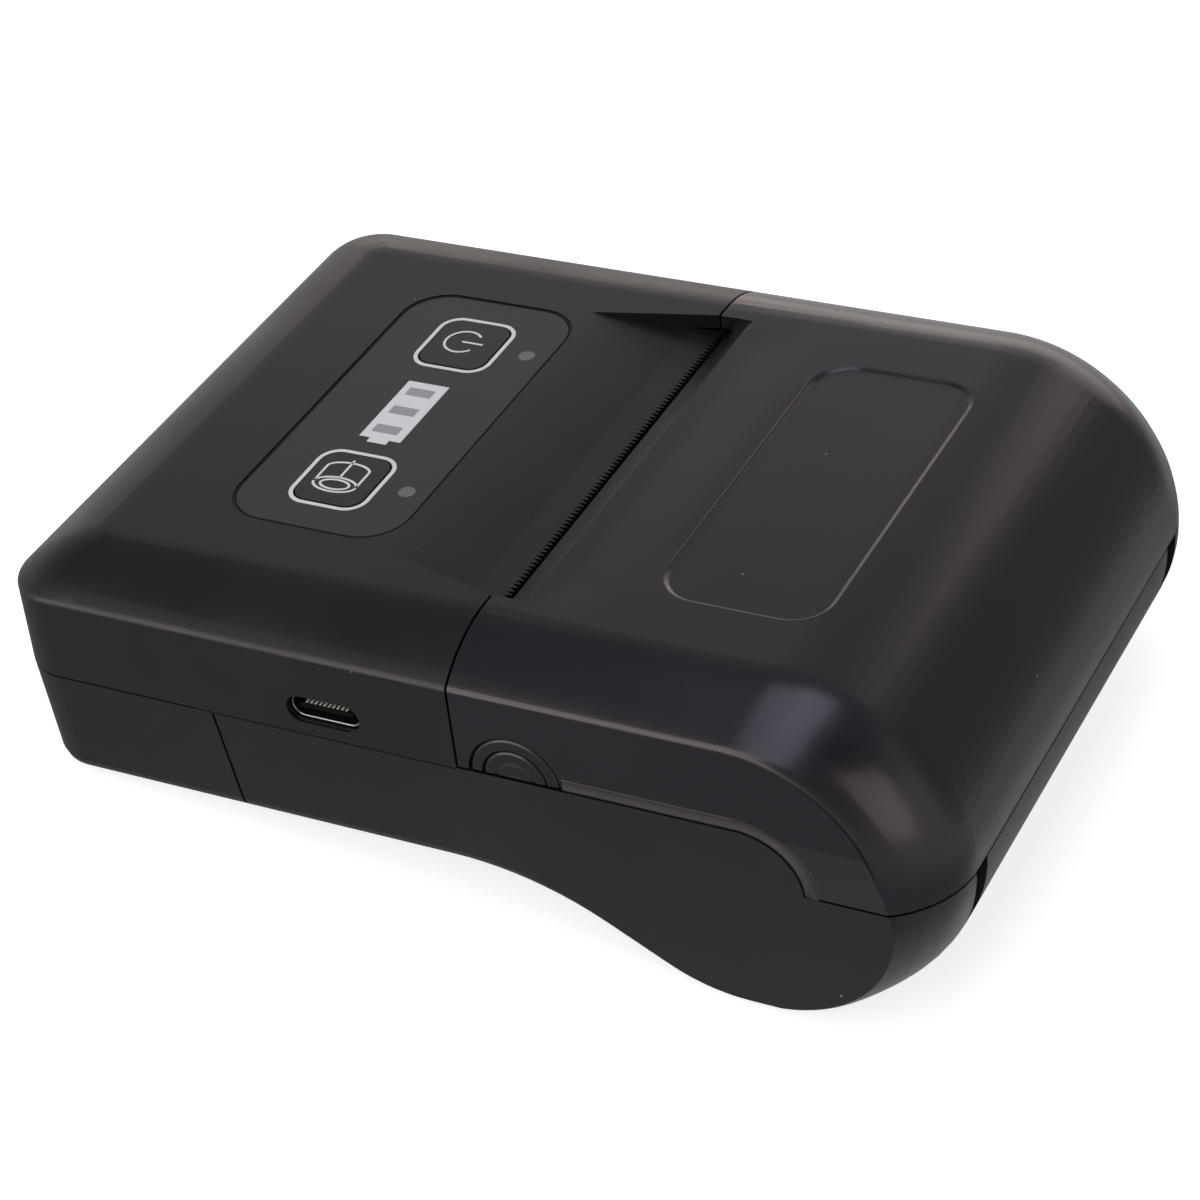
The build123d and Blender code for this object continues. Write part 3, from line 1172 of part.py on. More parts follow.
def head_flex_cable():
    """Flat cable from the board to the foot of the head."""
    start = BOARD_X1 - FLEX_IN
    points = [(start, BOARD_Z), (start, BOARD_Z - FLEX_BEND), (start + FLEX_BEND, BOARD_Z - 2 * FLEX_BEND),
              (FLEX_X - FLEX_BEND, HEAD_PIVOT_Z + EAR_TOP + FLEX_BEND), (FLEX_X, HEAD_PIVOT_Z + EAR_TOP),
              (FLEX_X, SINK_LOW_Z)]
    half = FLEX_THICKNESS / 2
    front = [(x - half, z) for x, z in points]
    back = [(x + half, z) for x, z in reversed(points)]
    outline = Polyline(*front, *back, close=True)
    return side_slab(outline, FLEX_Y0, FLEX_Y0 + FLEX_WIDTH)


def paper_sensor():
    """Optical sensor under the paper guide."""
    low = PLATEN_Z - PLATEN_RADIUS - GUIDE_GAP - GUIDE_WALL - SENSOR_HEIGHT
    box = block(PLATEN_X - SENSOR_SIZE / 2, PLATEN_X + SENSOR_SIZE / 2, -SENSOR_WIDTH / 2, SENSOR_WIDTH / 2,
                low, low + SENSOR_HEIGHT + BLEND)
    return box - paper_guide()


def tear_bar():
    """Thin blade with teeth along its rear edge."""
    half = TOOTH_COUNT * TOOTH_PITCH / 2
    outline = [(TEAR_X - BLADE_LENGTH, half), (TEAR_X - BLADE_LENGTH, -half)]
    for tooth in range(TOOTH_COUNT):
        y = -half + tooth * TOOTH_PITCH
        outline += [(TEAR_X - TOOTH_DEPTH, y), (TEAR_X, y + TOOTH_PITCH / 2)]
    outline.append((TEAR_X - TOOTH_DEPTH, half))
    plan = extrude(make_face(Polyline(*outline, close=True)), 2 * HEIGHT)
    return plan & ramp_sheet(-BLADE_THICKNESS, 0, TEAR_X - BLADE_LENGTH - CUT, TEAR_X + CUT)


def tear_bar_seat():
    """Recess for the blade in the tear ramp."""
    half = TOOTH_COUNT * TOOTH_PITCH / 2
    layer = ramp_sheet(-BLADE_THICKNESS, CUT, TEAR_X - BLADE_LENGTH, COVER_X + CUT)
    return layer & block(-FAR, FAR, -half, half, 0, FAR)


# Platen


def platen_bracket():
    """Sheet metal bracket that carries the platen under the cover."""
    x0, x1 = PLATEN_X - BRACKET_EAR, BRACKET_BACK_X + BRACKET_THICKNESS
    top, chin = PLATEN_Z + BRACKET_TOP, PLATEN_Z - BRACKET_CHIN
    low = PLATEN_Z - BRACKET_EAR / 2
    cheek = Polyline((x0, low), (x0, top - BRACKET_EAR), (PLATEN_X, top), (x1, top), (x1, BRACKET_LOW_Z),
                     (PLATEN_X + SHAFT_RADIUS, chin), (PLATEN_X - SHAFT_RADIUS, chin), close=True)
    far = BRACKET_Y + BRACKET_THICKNESS
    side = side_slab(cheek, BRACKET_Y, far)
    bracket = both_sides(side - side_disc((PLATEN_X, PLATEN_Z), BUSH_RADIUS, BRACKET_Y - CUT, far + CUT))
    bracket += block(BRACKET_BACK_X, x1, -far, far, BRACKET_LOW_Z, FLANGE_TOP)
    bracket += block(BRACKET_BACK_X, x1 + FLANGE_LENGTH, -FLANGE_HALF, FLANGE_HALF,
                     FLANGE_TOP - BRACKET_THICKNESS, FLANGE_TOP)
    for x, y in BRACKET_SCREWS:
        bracket -= post(x, y, BRACKET_SCREW_RADIUS, FLANGE_TOP - 2 * BRACKET_THICKNESS, FLANGE_TOP + CUT)
    return bracket


def platen_bushings():
    """Plain bearings with a collar towards the rubber."""
    centre = (PLATEN_X, PLATEN_Z)
    bush = side_disc(centre, BUSH_RADIUS, BRACKET_Y, BUSH_END)
    bush += side_disc(centre, BUSH_FLANGE, BRACKET_Y - BUSH_COLLAR, BRACKET_Y)
    bush -= side_disc(centre, SHAFT_RADIUS + RUNNING, BRACKET_Y - CUT, BUSH_END + CUT)
    return group([bush, mirrored(bush)])


def platen_shaft():
    """Steel shaft through the roller."""
    return side_disc((PLATEN_X, PLATEN_Z), SHAFT_RADIUS, -SHAFT_END, GEAR_Y + GEAR_FACE)


def platen_roller():
    """Rubber roller on the shaft."""
    centre = (PLATEN_X, PLATEN_Z)
    bore = side_disc(centre, SHAFT_RADIUS, -PLATEN_HALF - CUT, PLATEN_HALF + CUT)
    return side_disc(centre, PLATEN_RADIUS, -PLATEN_HALF, PLATEN_HALF) - bore


def platen_ring():
    """Retaining ring at the free end of the shaft."""
    centre = (PLATEN_X, PLATEN_Z)
    y1 = -BUSH_END - GEAR_SPACE
    y0 = y1 - RING_THICKNESS
    return side_disc(centre, RING_RADIUS, y0, y1) - side_disc(centre, SHAFT_RADIUS, y0 - CUT, y1 + CUT)


# Gear train


def gear(teeth, phase, centre, y0, bore):
    """Spur gear about an axis along Y with one tooth centred at the phase angle."""
    pitch = MODULE * teeth / 2
    base = pitch * cos(PRESSURE)
    tip = pitch + MODULE * ADDENDUM
    root = pitch - MODULE * DEDENDUM
    half_pitch = pi / (2 * teeth) - BACKLASH / (4 * pitch)
    turn = half_pitch + involute(pitch, base)
    flank = [(root, turn - UNDERCUT / root)]
    for step in range(FLANK_STEPS + 1):
        radius = base + (tip - base) * step / FLANK_STEPS
        flank.append((radius, turn - involute(radius, base)))
    outline = []
    for tooth in range(teeth):
        middle = radians(phase) + 2 * pi * tooth / teeth
        for radius, offset in flank:
            outline.append(polar(centre, radius, degrees(middle - offset)))
        for radius, offset in reversed(flank):
            outline.append(polar(centre, radius, degrees(middle + offset)))
    wheel = side_slab(Polyline(*outline, close=True), y0, y0 + GEAR_FACE)
    return wheel - side_disc(centre, bore, y0 - CUT, y0 + GEAR_FACE + CUT)


def involute(radius, base):
    """Involute function of a radius on a base circle."""
    slope = sqrt(max((radius / base) ** 2 - 1, 0.0))
    return slope - atan2(slope, 1)


def platen_gear():
    """Gear at the driven end of the platen shaft."""
    return gear(PLATEN_TEETH, IDLER_ANGLE, (PLATEN_X, PLATEN_Z), GEAR_Y, SHAFT_RADIUS)


def idler_gear():
    """Compound gear: the small wheel meets the platen's, the large one meets the pinion."""
    centre = (IDLER_X, IDLER_Z)
    bore = AXLE_RADIUS + RUNNING
    small_phase = IDLER_ANGLE - 180 + 180 / IDLER_SMALL_TEETH
    wheels = gear(IDLER_SMALL_TEETH, small_phase, centre, GEAR_Y, bore)
    wheels += gear(IDLER_LARGE_TEETH, PINION_ANGLE, centre, LARGE_GEAR_Y, bore)
    hub = side_disc(centre, HUB_RADIUS, GEAR_Y + GEAR_FACE, LARGE_GEAR_Y)
    return wheels + (hub - side_disc(centre, bore, GEAR_Y, LARGE_GEAR_Y + CUT))


def motor_pinion():
    """Pinion on the motor's shaft."""
    phase = PINION_ANGLE - 180 + 180 / PINION_TEETH
    return gear(PINION_TEETH, phase, (PINION_X, PINION_Z), LARGE_GEAR_Y, MOTOR_SHAFT_RADIUS)


def motor_shaft():
    """Shaft of the stepper motor."""
    end = LARGE_GEAR_Y + GEAR_FACE
    return side_disc((PINION_X, PINION_Z), MOTOR_SHAFT_RADIUS, CHASSIS_Y - MOTOR_SHAFT_IN, end)


def idler_axle():
    """Fixed axle of the idler gear with a rivet head."""
    centre = (IDLER_X, IDLER_Z)
    end = LARGE_GEAR_Y + GEAR_FACE + GEAR_SPACE
    return (side_disc(centre, AXLE_RADIUS, CHASSIS_Y, end)
            + side_disc(centre, AXLE_RADIUS + RIVET_RIM, end, end + RIVET_HEIGHT))


def stepper_motor():
    """Round motor with a boss in the cheek."""
    centre = (PINION_X, PINION_Z)
    motor = side_disc(centre, MOTOR_RADIUS, CHASSIS_Y - MOTOR_LENGTH, CHASSIS_Y)
    motor += side_disc(centre, MOTOR_BOSS_RADIUS, CHASSIS_Y - CUT, CHASSIS_Y + CHASSIS_WALL)
    well = side_disc(centre, MOTOR_SHAFT_RADIUS + RUNNING, CHASSIS_Y - MOTOR_SHAFT_IN - LOOSE,
                     CHASSIS_Y + 2 * CHASSIS_WALL)
    return motor - well


# Fixings


def hinge_pins():
    """Two pins of the cover hinge."""
    pin = side_disc((HINGE_X, HINGE_Z), HINGE_PIN_RADIUS, HINGE_PIN_Y0, HINGE_PIN_Y1)
    return group([pin, mirrored(pin)])


def screw(x, y, seat, radius, reach, up):
    """Screw with a round head that sits on a level and reaches up or down from it."""
    head = SCREW_HEAD if up else -SCREW_HEAD
    head_radius = radius * SCREW_HEAD_RADIUS / SCREW_RADIUS
    low, high = sorted((seat, seat - head))
    body = post(x, y, head_radius, low, high)
    low, high = sorted((seat, seat + (reach if up else -reach)))
    return body + post(x, y, radius, low, high)


def screw_group(places, seat, radius, reach, up=True):
    """Several equal screws."""
    return group([screw(x, y, seat, radius, reach, up) for x, y in places])


def group(shapes):
    """Separate solids kept together as one node."""
    return Compound([solid for shape in shapes for solid in shape.solids()])


def main():
    """Builds every piece and writes it to its own file."""
    outer = envelope(0)
    inner = envelope(WALL)
    pieces = {
        "upper_housing": upper_housing(outer, inner),
        "lower_housing": lower_housing(outer, inner),
        "paper_cover": paper_cover(outer, inner),
        "battery_case": battery_case(outer, inner),
        "battery_lid": battery_lid(inner),
        "battery_cells": battery_cells(),
        "battery_terminals": battery_terminals(),
        "battery_contact_pins": battery_contact_pins(),
        "control_panel": control_panel(),
        "battery_gauge_window": battery_gauge_window(),
        "status_light_pipes": status_light_pipes(),
        "power_button": key_button(1),
        "feed_button": key_button(-1),
        "power_plunger": key_plunger(1),
        "feed_plunger": key_plunger(-1),
        "power_switch": key_switch(1),
        "feed_switch": key_switch(-1),
        "main_circuit_board": main_circuit_board(),
        "status_leds": status_leds(),
        "usb_socket": usb_socket(),
        "usb_tongue": usb_tongue(),
        "print_chassis": print_chassis(),
        "head_heat_sink": head_heat_sink(),
        "thermal_head": thermal_head(),
        "head_pivot_pins": head_pivot_pins(),
        "head_springs": head_springs(),
        "head_flex_cable": head_flex_cable(),
        "paper_sensor": paper_sensor(),
        "tear_bar": tear_bar(),
        "platen_bracket": platen_bracket(),
        "platen_bushings": platen_bushings(),
        "platen_shaft": platen_shaft(),
        "platen_roller": platen_roller(),
        "platen_gear": platen_gear(),
        "platen_ring": platen_ring(),
        "idler_gear": idler_gear(),
        "idler_axle": idler_axle(),
        "motor_pinion": motor_pinion(),
        "motor_shaft": motor_shaft(),
        "stepper_motor": stepper_motor(),
        "hinge_pins": hinge_pins(),
        "housing_screws": screw_group(HOUSING_SCREWS, HOUSING_SCREW_HEAD_TOP, SCREW_RADIUS,
                                      HOUSING_SCREW_TOP - HOUSING_SCREW_HEAD_TOP),
        "chassis_screws": screw_group(CHASSIS_SCREWS, CHASSIS_FOOT_Z + FOOT_PLATE, SCREW_RADIUS,
                                      FOOT_PLATE + CHASSIS_SCREW_GRIP, up=False),
        "board_screws": screw_group(BOARD_POSTS, BOARD_Z, BOARD_SCREW_RADIUS,
                                    BOARD_THICKNESS + BOARD_SCREW_GRIP),
        "bracket_screws": screw_group(BRACKET_SCREWS, FLANGE_TOP - BRACKET_THICKNESS, BRACKET_SCREW_RADIUS,
                                      BRACKET_THICKNESS + BRACKET_SCREW_GRIP),
    }
    os.makedirs("parts", exist_ok=True)
    for name, piece in pieces.items():
        export_step(piece, f"parts/{name}.step")


if __name__ == "__main__":
    main()
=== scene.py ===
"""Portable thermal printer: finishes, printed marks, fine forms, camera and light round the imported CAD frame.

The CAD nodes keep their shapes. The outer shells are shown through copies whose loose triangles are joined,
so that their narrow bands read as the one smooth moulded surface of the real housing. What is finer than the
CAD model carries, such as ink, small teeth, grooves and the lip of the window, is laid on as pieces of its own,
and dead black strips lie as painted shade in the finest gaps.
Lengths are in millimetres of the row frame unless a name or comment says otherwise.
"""

import logging
import math
from dataclasses import dataclass, field
from enum import Enum

import bmesh
import bpy
import numpy as np
from mathutils import Matrix, Vector


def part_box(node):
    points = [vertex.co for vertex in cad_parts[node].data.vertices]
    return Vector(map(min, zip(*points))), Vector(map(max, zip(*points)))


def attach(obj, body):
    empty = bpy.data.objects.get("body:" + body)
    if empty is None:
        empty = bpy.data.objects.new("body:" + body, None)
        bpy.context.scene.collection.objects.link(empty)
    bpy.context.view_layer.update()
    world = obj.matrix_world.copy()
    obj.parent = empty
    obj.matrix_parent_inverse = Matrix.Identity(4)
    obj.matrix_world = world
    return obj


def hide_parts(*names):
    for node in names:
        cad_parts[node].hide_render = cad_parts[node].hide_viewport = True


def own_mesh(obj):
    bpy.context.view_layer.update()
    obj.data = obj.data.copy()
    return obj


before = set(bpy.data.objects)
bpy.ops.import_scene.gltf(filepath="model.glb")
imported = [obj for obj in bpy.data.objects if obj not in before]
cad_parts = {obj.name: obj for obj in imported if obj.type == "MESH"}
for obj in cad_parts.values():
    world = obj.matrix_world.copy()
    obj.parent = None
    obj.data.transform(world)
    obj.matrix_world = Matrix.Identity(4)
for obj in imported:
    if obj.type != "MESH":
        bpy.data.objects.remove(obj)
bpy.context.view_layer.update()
LOG = logging.getLogger("printer")
Pair, Triple, Row = tuple[float, float], tuple[float, float, float], tuple[float, ...]
Arrays = tuple[np.ndarray, np.ndarray]
MM = 0.001
TOP = 40.5  # level of the flat top
INK_ROOT = 0.02  # how far a printed mark reaches into what carries it
INK_HEIGHT = 0.03
CORNER_STEPS = 9  # points on each round corner of an outline
MERGE_MM = 0.0005  # points of a built solid that lie closer are one
DUST_COLOUR = "b8b4ae"
DUST_APART_MM = 6.0
DUST_CORE, DUST_EDGE = 0.012, 0.024  # radius of a speck and of its fading rim, as shares of that distance
BRUSH_STRETCH = (1.0, 0.04, 1.0)  # lines along Y
PATCH_LOW, PATCH_HIGH = 0.3, 0.7  # range of the noise that the roughness spreads over
LEAST_MITRE = 0.3  # a strip's corner grows to at most one over this


class Body(str, Enum):
    """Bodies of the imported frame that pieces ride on."""

    HOUSING = "housing"
    COVER = "cover"
    POWER_KEY = "power_key"
    FEED_KEY = "feed_key"
    BATTERY = "battery"


class Grain(Enum):
    """How a moulded or rolled surface was made."""

    SPARK_ERODED = "spark eroded mould, fine even satin"
    POLISHED = "polished mould, gloss with a faint haze"
    BRUSHED = "rolled or brushed metal, fine lines along Y"
    PLAIN = "plain even surface"


def linear(code: str) -> tuple[float, float, float, float]:
    """Turn an sRGB hex colour into linear light.

    Args:
        code: six hex digits, without a hash.

    Returns:
        Linear red, green, blue and an alpha of one.
    """
    value = np.array([int(code[i:i + 2], 16) for i in (0, 2, 4)]) / 255.0
    light = np.where(value <= 0.04045, value / 12.92, ((value + 0.055) / 1.055) ** 2.4)
    return (float(light[0]), float(light[1]), float(light[2]), 1.0)


def add_node(tree: bpy.types.NodeTree, kind: str, settings: dict | None = None,
             inputs: dict | None = None) -> bpy.types.Node:
    """Add one shader node with its settings and links.

    Args:
        tree: node tree of the material.
        kind: Blender's name of the node type, without the word ShaderNode in front.
        settings: attributes of the node.
        inputs: input name or index to a value, or to the output socket that feeds it.

    Returns:
        The new node.
    """
    made = tree.nodes.new(f"ShaderNode{kind}")
    for name, value in (settings or {}).items():
        setattr(made, name, value)
    for name, value in (inputs or {}).items():
        if isinstance(value, bpy.types.NodeSocket):
            tree.links.new(value, made.inputs[name])
        else:
            made.inputs[name].default_value = value
    return made


@dataclass(frozen=True)
class Finish:
    """A real substance and how its surface was made; a few also carry painted shade, a painted reflection or a painted
    glint in their colour.

    Sizes are in millimetres. The grain is drawn coarse enough to show where the real one is too fine.
    """

    name: str
    colour: str
    shade: str
    roughness: float
    grain: Grain = Grain.SPARK_ERODED
    grain_mm: float = 0.35
    grain_depth_mm: float = 0.004
    spread: float = 0.05
    metallic: float = 0.0
    ior: float = 1.5
    specular: float = 0.5
    coat: float = 0.0
    coat_roughness: float = 0.1
    patch_mm: float = 18.0
    dust: float = 0.0
    gloss_tint: str = "ffffff"

    def make(self) -> bpy.types.Material:
        """Build the node material, once for each finish.

        Returns:
            The material.
        """
        known = bpy.data.materials.get(self.name)
        if known:
            return known
        material = bpy.data.materials.new(self.name)
        material.use_nodes = True
        tree = material.node_tree
        tree.nodes.clear()
        place = add_node(tree, "TexCoord").outputs["Object"]
        colour, rough, height = self._pattern(tree, place)
        relief = add_node(tree, "Bump", inputs={
            "Strength": 1.0, "Distance": self.grain_depth_mm * MM, "Height": height})
        shader = add_node(tree, "BsdfPrincipled", inputs={
            "Base Color": colour, "Roughness": rough, "Metallic": self.metallic,
            "Specular IOR Level": self.specular, "Specular Tint": linear(self.gloss_tint), "Coat Weight": self.coat,
            "Coat Roughness": self.coat_roughness, "Normal": relief.outputs["Normal"]})
        if not self.metallic:
            shader.inputs["IOR"].default_value = self.ior
        add_node(tree, "OutputMaterial", inputs={"Surface": shader.outputs["BSDF"]})
        return material

    def _pattern(self, tree: bpy.types.NodeTree, place: bpy.types.NodeSocket) -> tuple:
        """Colour, roughness and relief of the surface.

        Args:
            tree: node tree of the material.
            place: Object coordinates.

        Returns:
            Output sockets for base colour, roughness and bump height.
        """
        patches = add_node(tree, "TexNoise", inputs={
            "Vector": place, "Scale": 1 / (self.patch_mm * MM), "Detail": 3.0, "Roughness": 0.6})
        tone = add_node(tree, "Mix", {"data_type": "RGBA"}, {
            0: patches.outputs["Fac"], 6: linear(self.shade), 7: linear(self.colour)})
        stretch = BRUSH_STRETCH if self.grain is Grain.BRUSHED else (1.0, 1.0, 1.0)
        along = add_node(tree, "Mapping", inputs={"Vector": place, "Scale": stretch})
        grains = add_node(tree, "TexNoise", inputs={
            "Vector": along.outputs["Vector"], "Scale": 1 / (self.grain_mm * MM), "Detail": 2.0})
        rough = add_node(tree, "MapRange", inputs={
            "Value": patches.outputs["Fac"], "From Min": PATCH_LOW, "From Max": PATCH_HIGH,
            "To Min": self.roughness - self.spread, "To Max": self.roughness + self.spread})
        colour = tone.outputs[2]
        if self.dust:
            # Specks of dust are 0.1 to 0.2 mm across and lie a few millimetres apart.
            cells = add_node(tree, "TexVoronoi", inputs={"Vector": place, "Scale": 1 / (DUST_APART_MM * MM)})
            speck = add_node(tree, "MapRange", inputs={
                "Value": cells.outputs["Distance"], "From Min": DUST_CORE, "From Max": DUST_EDGE,
                "To Min": self.dust, "To Max": 0.0})
            colour = add_node(tree, "Mix", {"data_type": "RGBA"}, {
                0: speck.outputs["Result"], 6: colour, 7: linear(DUST_COLOUR)}).outputs[2]
        return colour, rough.outputs["Result"], grains.outputs["Fac"]


# Black ABS from a fine spark eroded mould: a dead even satin, deep black, grey only where it faces the light.
HOUSING_ABS = Finish("black_abs_moulded", "0f0f10", "0c0c0d", 0.36, specular=0.45, dust=0.5)
# Smoked ABS from a polished mould: black with a violet cast, glossier, with soft wide highlights.
COVER_ABS = Finish("smoked_abs_polished", "131017", "100e14", 0.26, Grain.POLISHED, 0.6, 0.0012, 0.02,
                   specular=0.52, coat=0.2, coat_roughness=0.16, dust=0.6, gloss_tint="fcf6ff")
# The same ABS on the band that faces down, a little lighter and pinker: a painted reflection of the table.
SKIRT_ABS_PAINTED_REFLECTION = Finish("smoked_abs_skirt_painted_reflection", "19161b", "161318", 0.3, Grain.POLISHED, 0.6, 0.0012, 0.02,
                   specular=0.54, coat=0.2, coat_roughness=0.16, gloss_tint="fff6fa")
# Printed polycarbonate overlay: flat matt charcoal, a shade lighter than the housing.
PANEL_FILM = Finish("polycarbonate_overlay", "2b2b2d", "272729", 0.46, Grain.PLAIN, 0.4, 0.001, 0.03, specular=0.45)
# Key tops of the same overlay, domed, and darker than the panel.
KEY_FILM = Finish("printed_key_top", "1f1f20", "1b1b1c", 0.42, Grain.PLAIN, 0.4, 0.001, 0.03, specular=0.45)
# Screen printed ink: flat cool white.
MARK_INK = Finish("screen_printed_ink", "e8e8ea", "dcdcdf", 0.55, Grain.PLAIN, 0.4, 0.001, 0.02)
# Dead black: the socket tongue's own black plastic, and painted shade in the shadow gap round the overlay and in the
# grip grooves.
DEAD_BLACK_AND_PAINTED_SHADE = Finish("dead_black_and_painted_shade", "060607", "050506", 0.6, Grain.PLAIN, 0.4, 0.001, 0.02, specular=0.1)
# Diffusing polycarbonate over dark lamps: mid grey, slightly glossy.
LAMP_LENS = Finish("diffusing_polycarbonate", "6f6e70", "666567", 0.35, Grain.POLISHED, 0.5, 0.001, 0.03)
# Gauge windows of frosted polycarbonate over unlit lamps: pale grey.
GAUGE_LENS = Finish("frosted_gauge_lens", "a3a2a6", "98979b", 0.4, Grain.POLISHED, 0.5, 0.001, 0.03)
# Zinc plated sheet steel: bright grey with faint rolling lines.
PLATED_STEEL = Finish("zinc_plated_steel", "b9bab8", "a4a5a4", 0.28, Grain.BRUSHED, 0.25, 0.002, 0.06, metallic=1.0)
# Spring steel with a black oxide: as dark as the plastic round it, with faint rolling lines.
BLACKED_STEEL = Finish("black_oxide_spring_steel", "141415", "111112", 0.38, Grain.BRUSHED, 0.25, 0.001, 0.04)
# Ground steel pins, shafts and screws: bright and sharp, almost a mirror.
GROUND_STEEL = Finish("ground_steel", "c7c7c5", "b6b6b5", 0.18, Grain.BRUSHED, 0.2, 0.001, 0.04, metallic=1.0)
# Anodised heat sink: pale matt grey with a soft sheen.
ANODISED = Finish("anodised_aluminium", "b2b4b6", "a2a5a8", 0.36, Grain.BRUSHED, 0.3, 0.002, 0.05, metallic=1.0)
# Glazed alumina of the thermal head: cream white under glass.
GLAZED_CERAMIC = Finish("glazed_alumina", "d9d5ca", "cbc7bc", 0.16, Grain.POLISHED, 0.6, 0.0005, 0.02, ior=1.7)
# Silicone rubber of the platen: dull black, without a highlight.
ROLLER_RUBBER = Finish("silicone_rubber", "1d1d1e", "171718", 0.62, Grain.PLAIN, 0.3, 0.003, 0.05, specular=0.35)
# Acetal of the gears and bushings: warm white, waxy.
ACETAL = Finish("acetal_gear_plastic", "d8d2c2", "cbc5b4", 0.38, Grain.PLAIN, 0.5, 0.001, 0.04)
# Unpainted inner ABS: dark grey, duller than the outside.
INNER_ABS = Finish("inner_abs", "222224", "1c1c1e", 0.5)
# Green solder mask of the circuit board: deep green gloss.
SOLDER_MASK = Finish("green_solder_mask", "12492f", "0d3a25", 0.32, Grain.POLISHED, 0.8, 0.002, 0.04)
# Shrink film round the cells: blue, slightly glossy.
CELL_FILM = Finish("cell_shrink_film", "3d5c86", "34527c", 0.34, Grain.POLISHED, 1.2, 0.004, 0.04)
# Gold plated spring contacts: yellow metal.
GOLD_PLATE = Finish("gold_plated_contact", "d9b25e", "c9a14e", 0.22, Grain.BRUSHED, 0.2, 0.001, 0.03, metallic=1.0)
# Plating of the socket's contacts, near white and mostly diffuse: a painted glint, so that they show as a row of bright
# dashes.
CONTACT_PAINTED_GLINT = Finish("nickel_gold_contact_painted_glint", "fbf9f4", "f2eee4", 0.35, Grain.BRUSHED, 0.2, 0.001, 0.03, metallic=0.15)
# Polyimide of the flex cable: clear amber brown.
CABLE_FILM = Finish("polyimide_film", "8a4a16", "783e10", 0.3, Grain.POLISHED, 0.8, 0.001, 0.03)

NODE_FINISH = {node: finish for finish, nodes in (
    (HOUSING_ABS, "upper_housing lower_housing battery_case"),
    (COVER_ABS, "paper_cover"),
    (PANEL_FILM, "control_panel"),
    (KEY_FILM, "power_button feed_button"),
    (LAMP_LENS, "status_light_pipes status_leds"),
    (GAUGE_LENS, "battery_gauge_window"),
    (BLACKED_STEEL, "tear_bar"),
    (PLATED_STEEL, "usb_socket platen_bracket stepper_motor"),
    (INNER_ABS, "usb_tongue battery_lid power_plunger feed_plunger power_switch feed_switch print_chassis "
                "paper_sensor"),
    (CELL_FILM, "battery_cells"),
    (GOLD_PLATE, "battery_terminals battery_contact_pins"),
    (SOLDER_MASK, "main_circuit_board"),
    (ANODISED, "head_heat_sink"),
    (GLAZED_CERAMIC, "thermal_head"),
    (GROUND_STEEL, "head_pivot_pins head_springs platen_shaft platen_ring idler_axle motor_shaft hinge_pins "
                   "housing_screws chassis_screws board_screws bracket_screws"),
    (CABLE_FILM, "head_flex_cable"),
    (ACETAL, "platen_bushings platen_gear idler_gear motor_pinion"),
    (ROLLER_RUBBER, "platen_roller"),
) for node in nodes.split()}


def new_piece(name: str, mesh: bpy.types.Mesh, body: Body, finish: Finish) -> bpy.types.Object:
    """Show a mesh as a piece that rides on a body.

    Args:
        name: name of the piece.
        mesh: mesh in metres, in the row frame.
        body: body it moves with.
        finish: its material.

    Returns:
        The new object.
    """
    mesh.materials.clear()
    mesh.materials.append(finish.make())
    piece = bpy.data.objects.new(name, mesh)
    bpy.context.scene.collection.objects.link(piece)
    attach(piece, body.value)
    LOG.info("%s: %d faces on %s", name, len(mesh.polygons), body.value)
    return piece


def column(items: bpy.types.bpy_prop_collection, name: str, width: int = 1, kind: type = np.float32) -> np.ndarray:
    """Read one attribute of every item of a mesh.

    Args:
        items: vertices, edges, faces or corners.
        name: the attribute.
        width: numbers in each item.
        kind: number type.

    Returns:
        One row for each item, or one number where the width is one.
    """
    values = np.empty(width * len(items), kind)
    items.foreach_get(name, values)
    return values.reshape(-1, width) if width > 1 else values


def crisp_edges(mesh: bpy.types.Mesh, broad_deg: float, fine_deg: float, zones: tuple) -> np.ndarray:
    """Find the edges of a moulded surface that stay sharp.

    The turn at an edge is the arc cosine of the dot product of its two faces' normals. An edge is sharp where it
    turns by more than the broad angle, and inside one of the zones also by more than the fine angle.

    Args:
        mesh: mesh with its doubles merged.
        broad_deg: angle that counts everywhere.
        fine_deg: smaller angle that counts inside the zones.
        zones: lowest and highest corner of each zone in millimetres, with Y as distance from the middle plane.

    Returns:
        One boolean for each edge.
    """
    edges = len(mesh.edges)
    of_loop = column(mesh.loops, "edge_index", kind=np.int32)
    normals = column(mesh.polygons, "normal", 3)
    face_of_loop = np.repeat(np.arange(len(normals)), column(mesh.polygons, "loop_total", kind=np.int32))
    order = np.argsort(of_loop, kind="stable")
    first = np.searchsorted(of_loop[order], np.arange(edges), "left")
    last = np.searchsorted(of_loop[order], np.arange(edges), "right") - 1
    one, other = normals[face_of_loop[order[first]]], normals[face_of_loop[order[last]]]
    turn = np.degrees(np.arccos(np.clip(np.sum(one * other, axis=1), -1.0, 1.0)))
    middle = column(mesh.vertices, "co", 3)[column(mesh.edges, "vertices", 2, np.int32)].mean(axis=1) / MM
    middle[:, 1] = np.abs(middle[:, 1])
    inside = np.zeros(edges, bool)
    for low, high in zones:
        inside |= np.all((middle > np.array(low)) & (middle < np.array(high)), axis=1)
    return (turn > broad_deg) | (inside & (turn > fine_deg)) | (first == last)


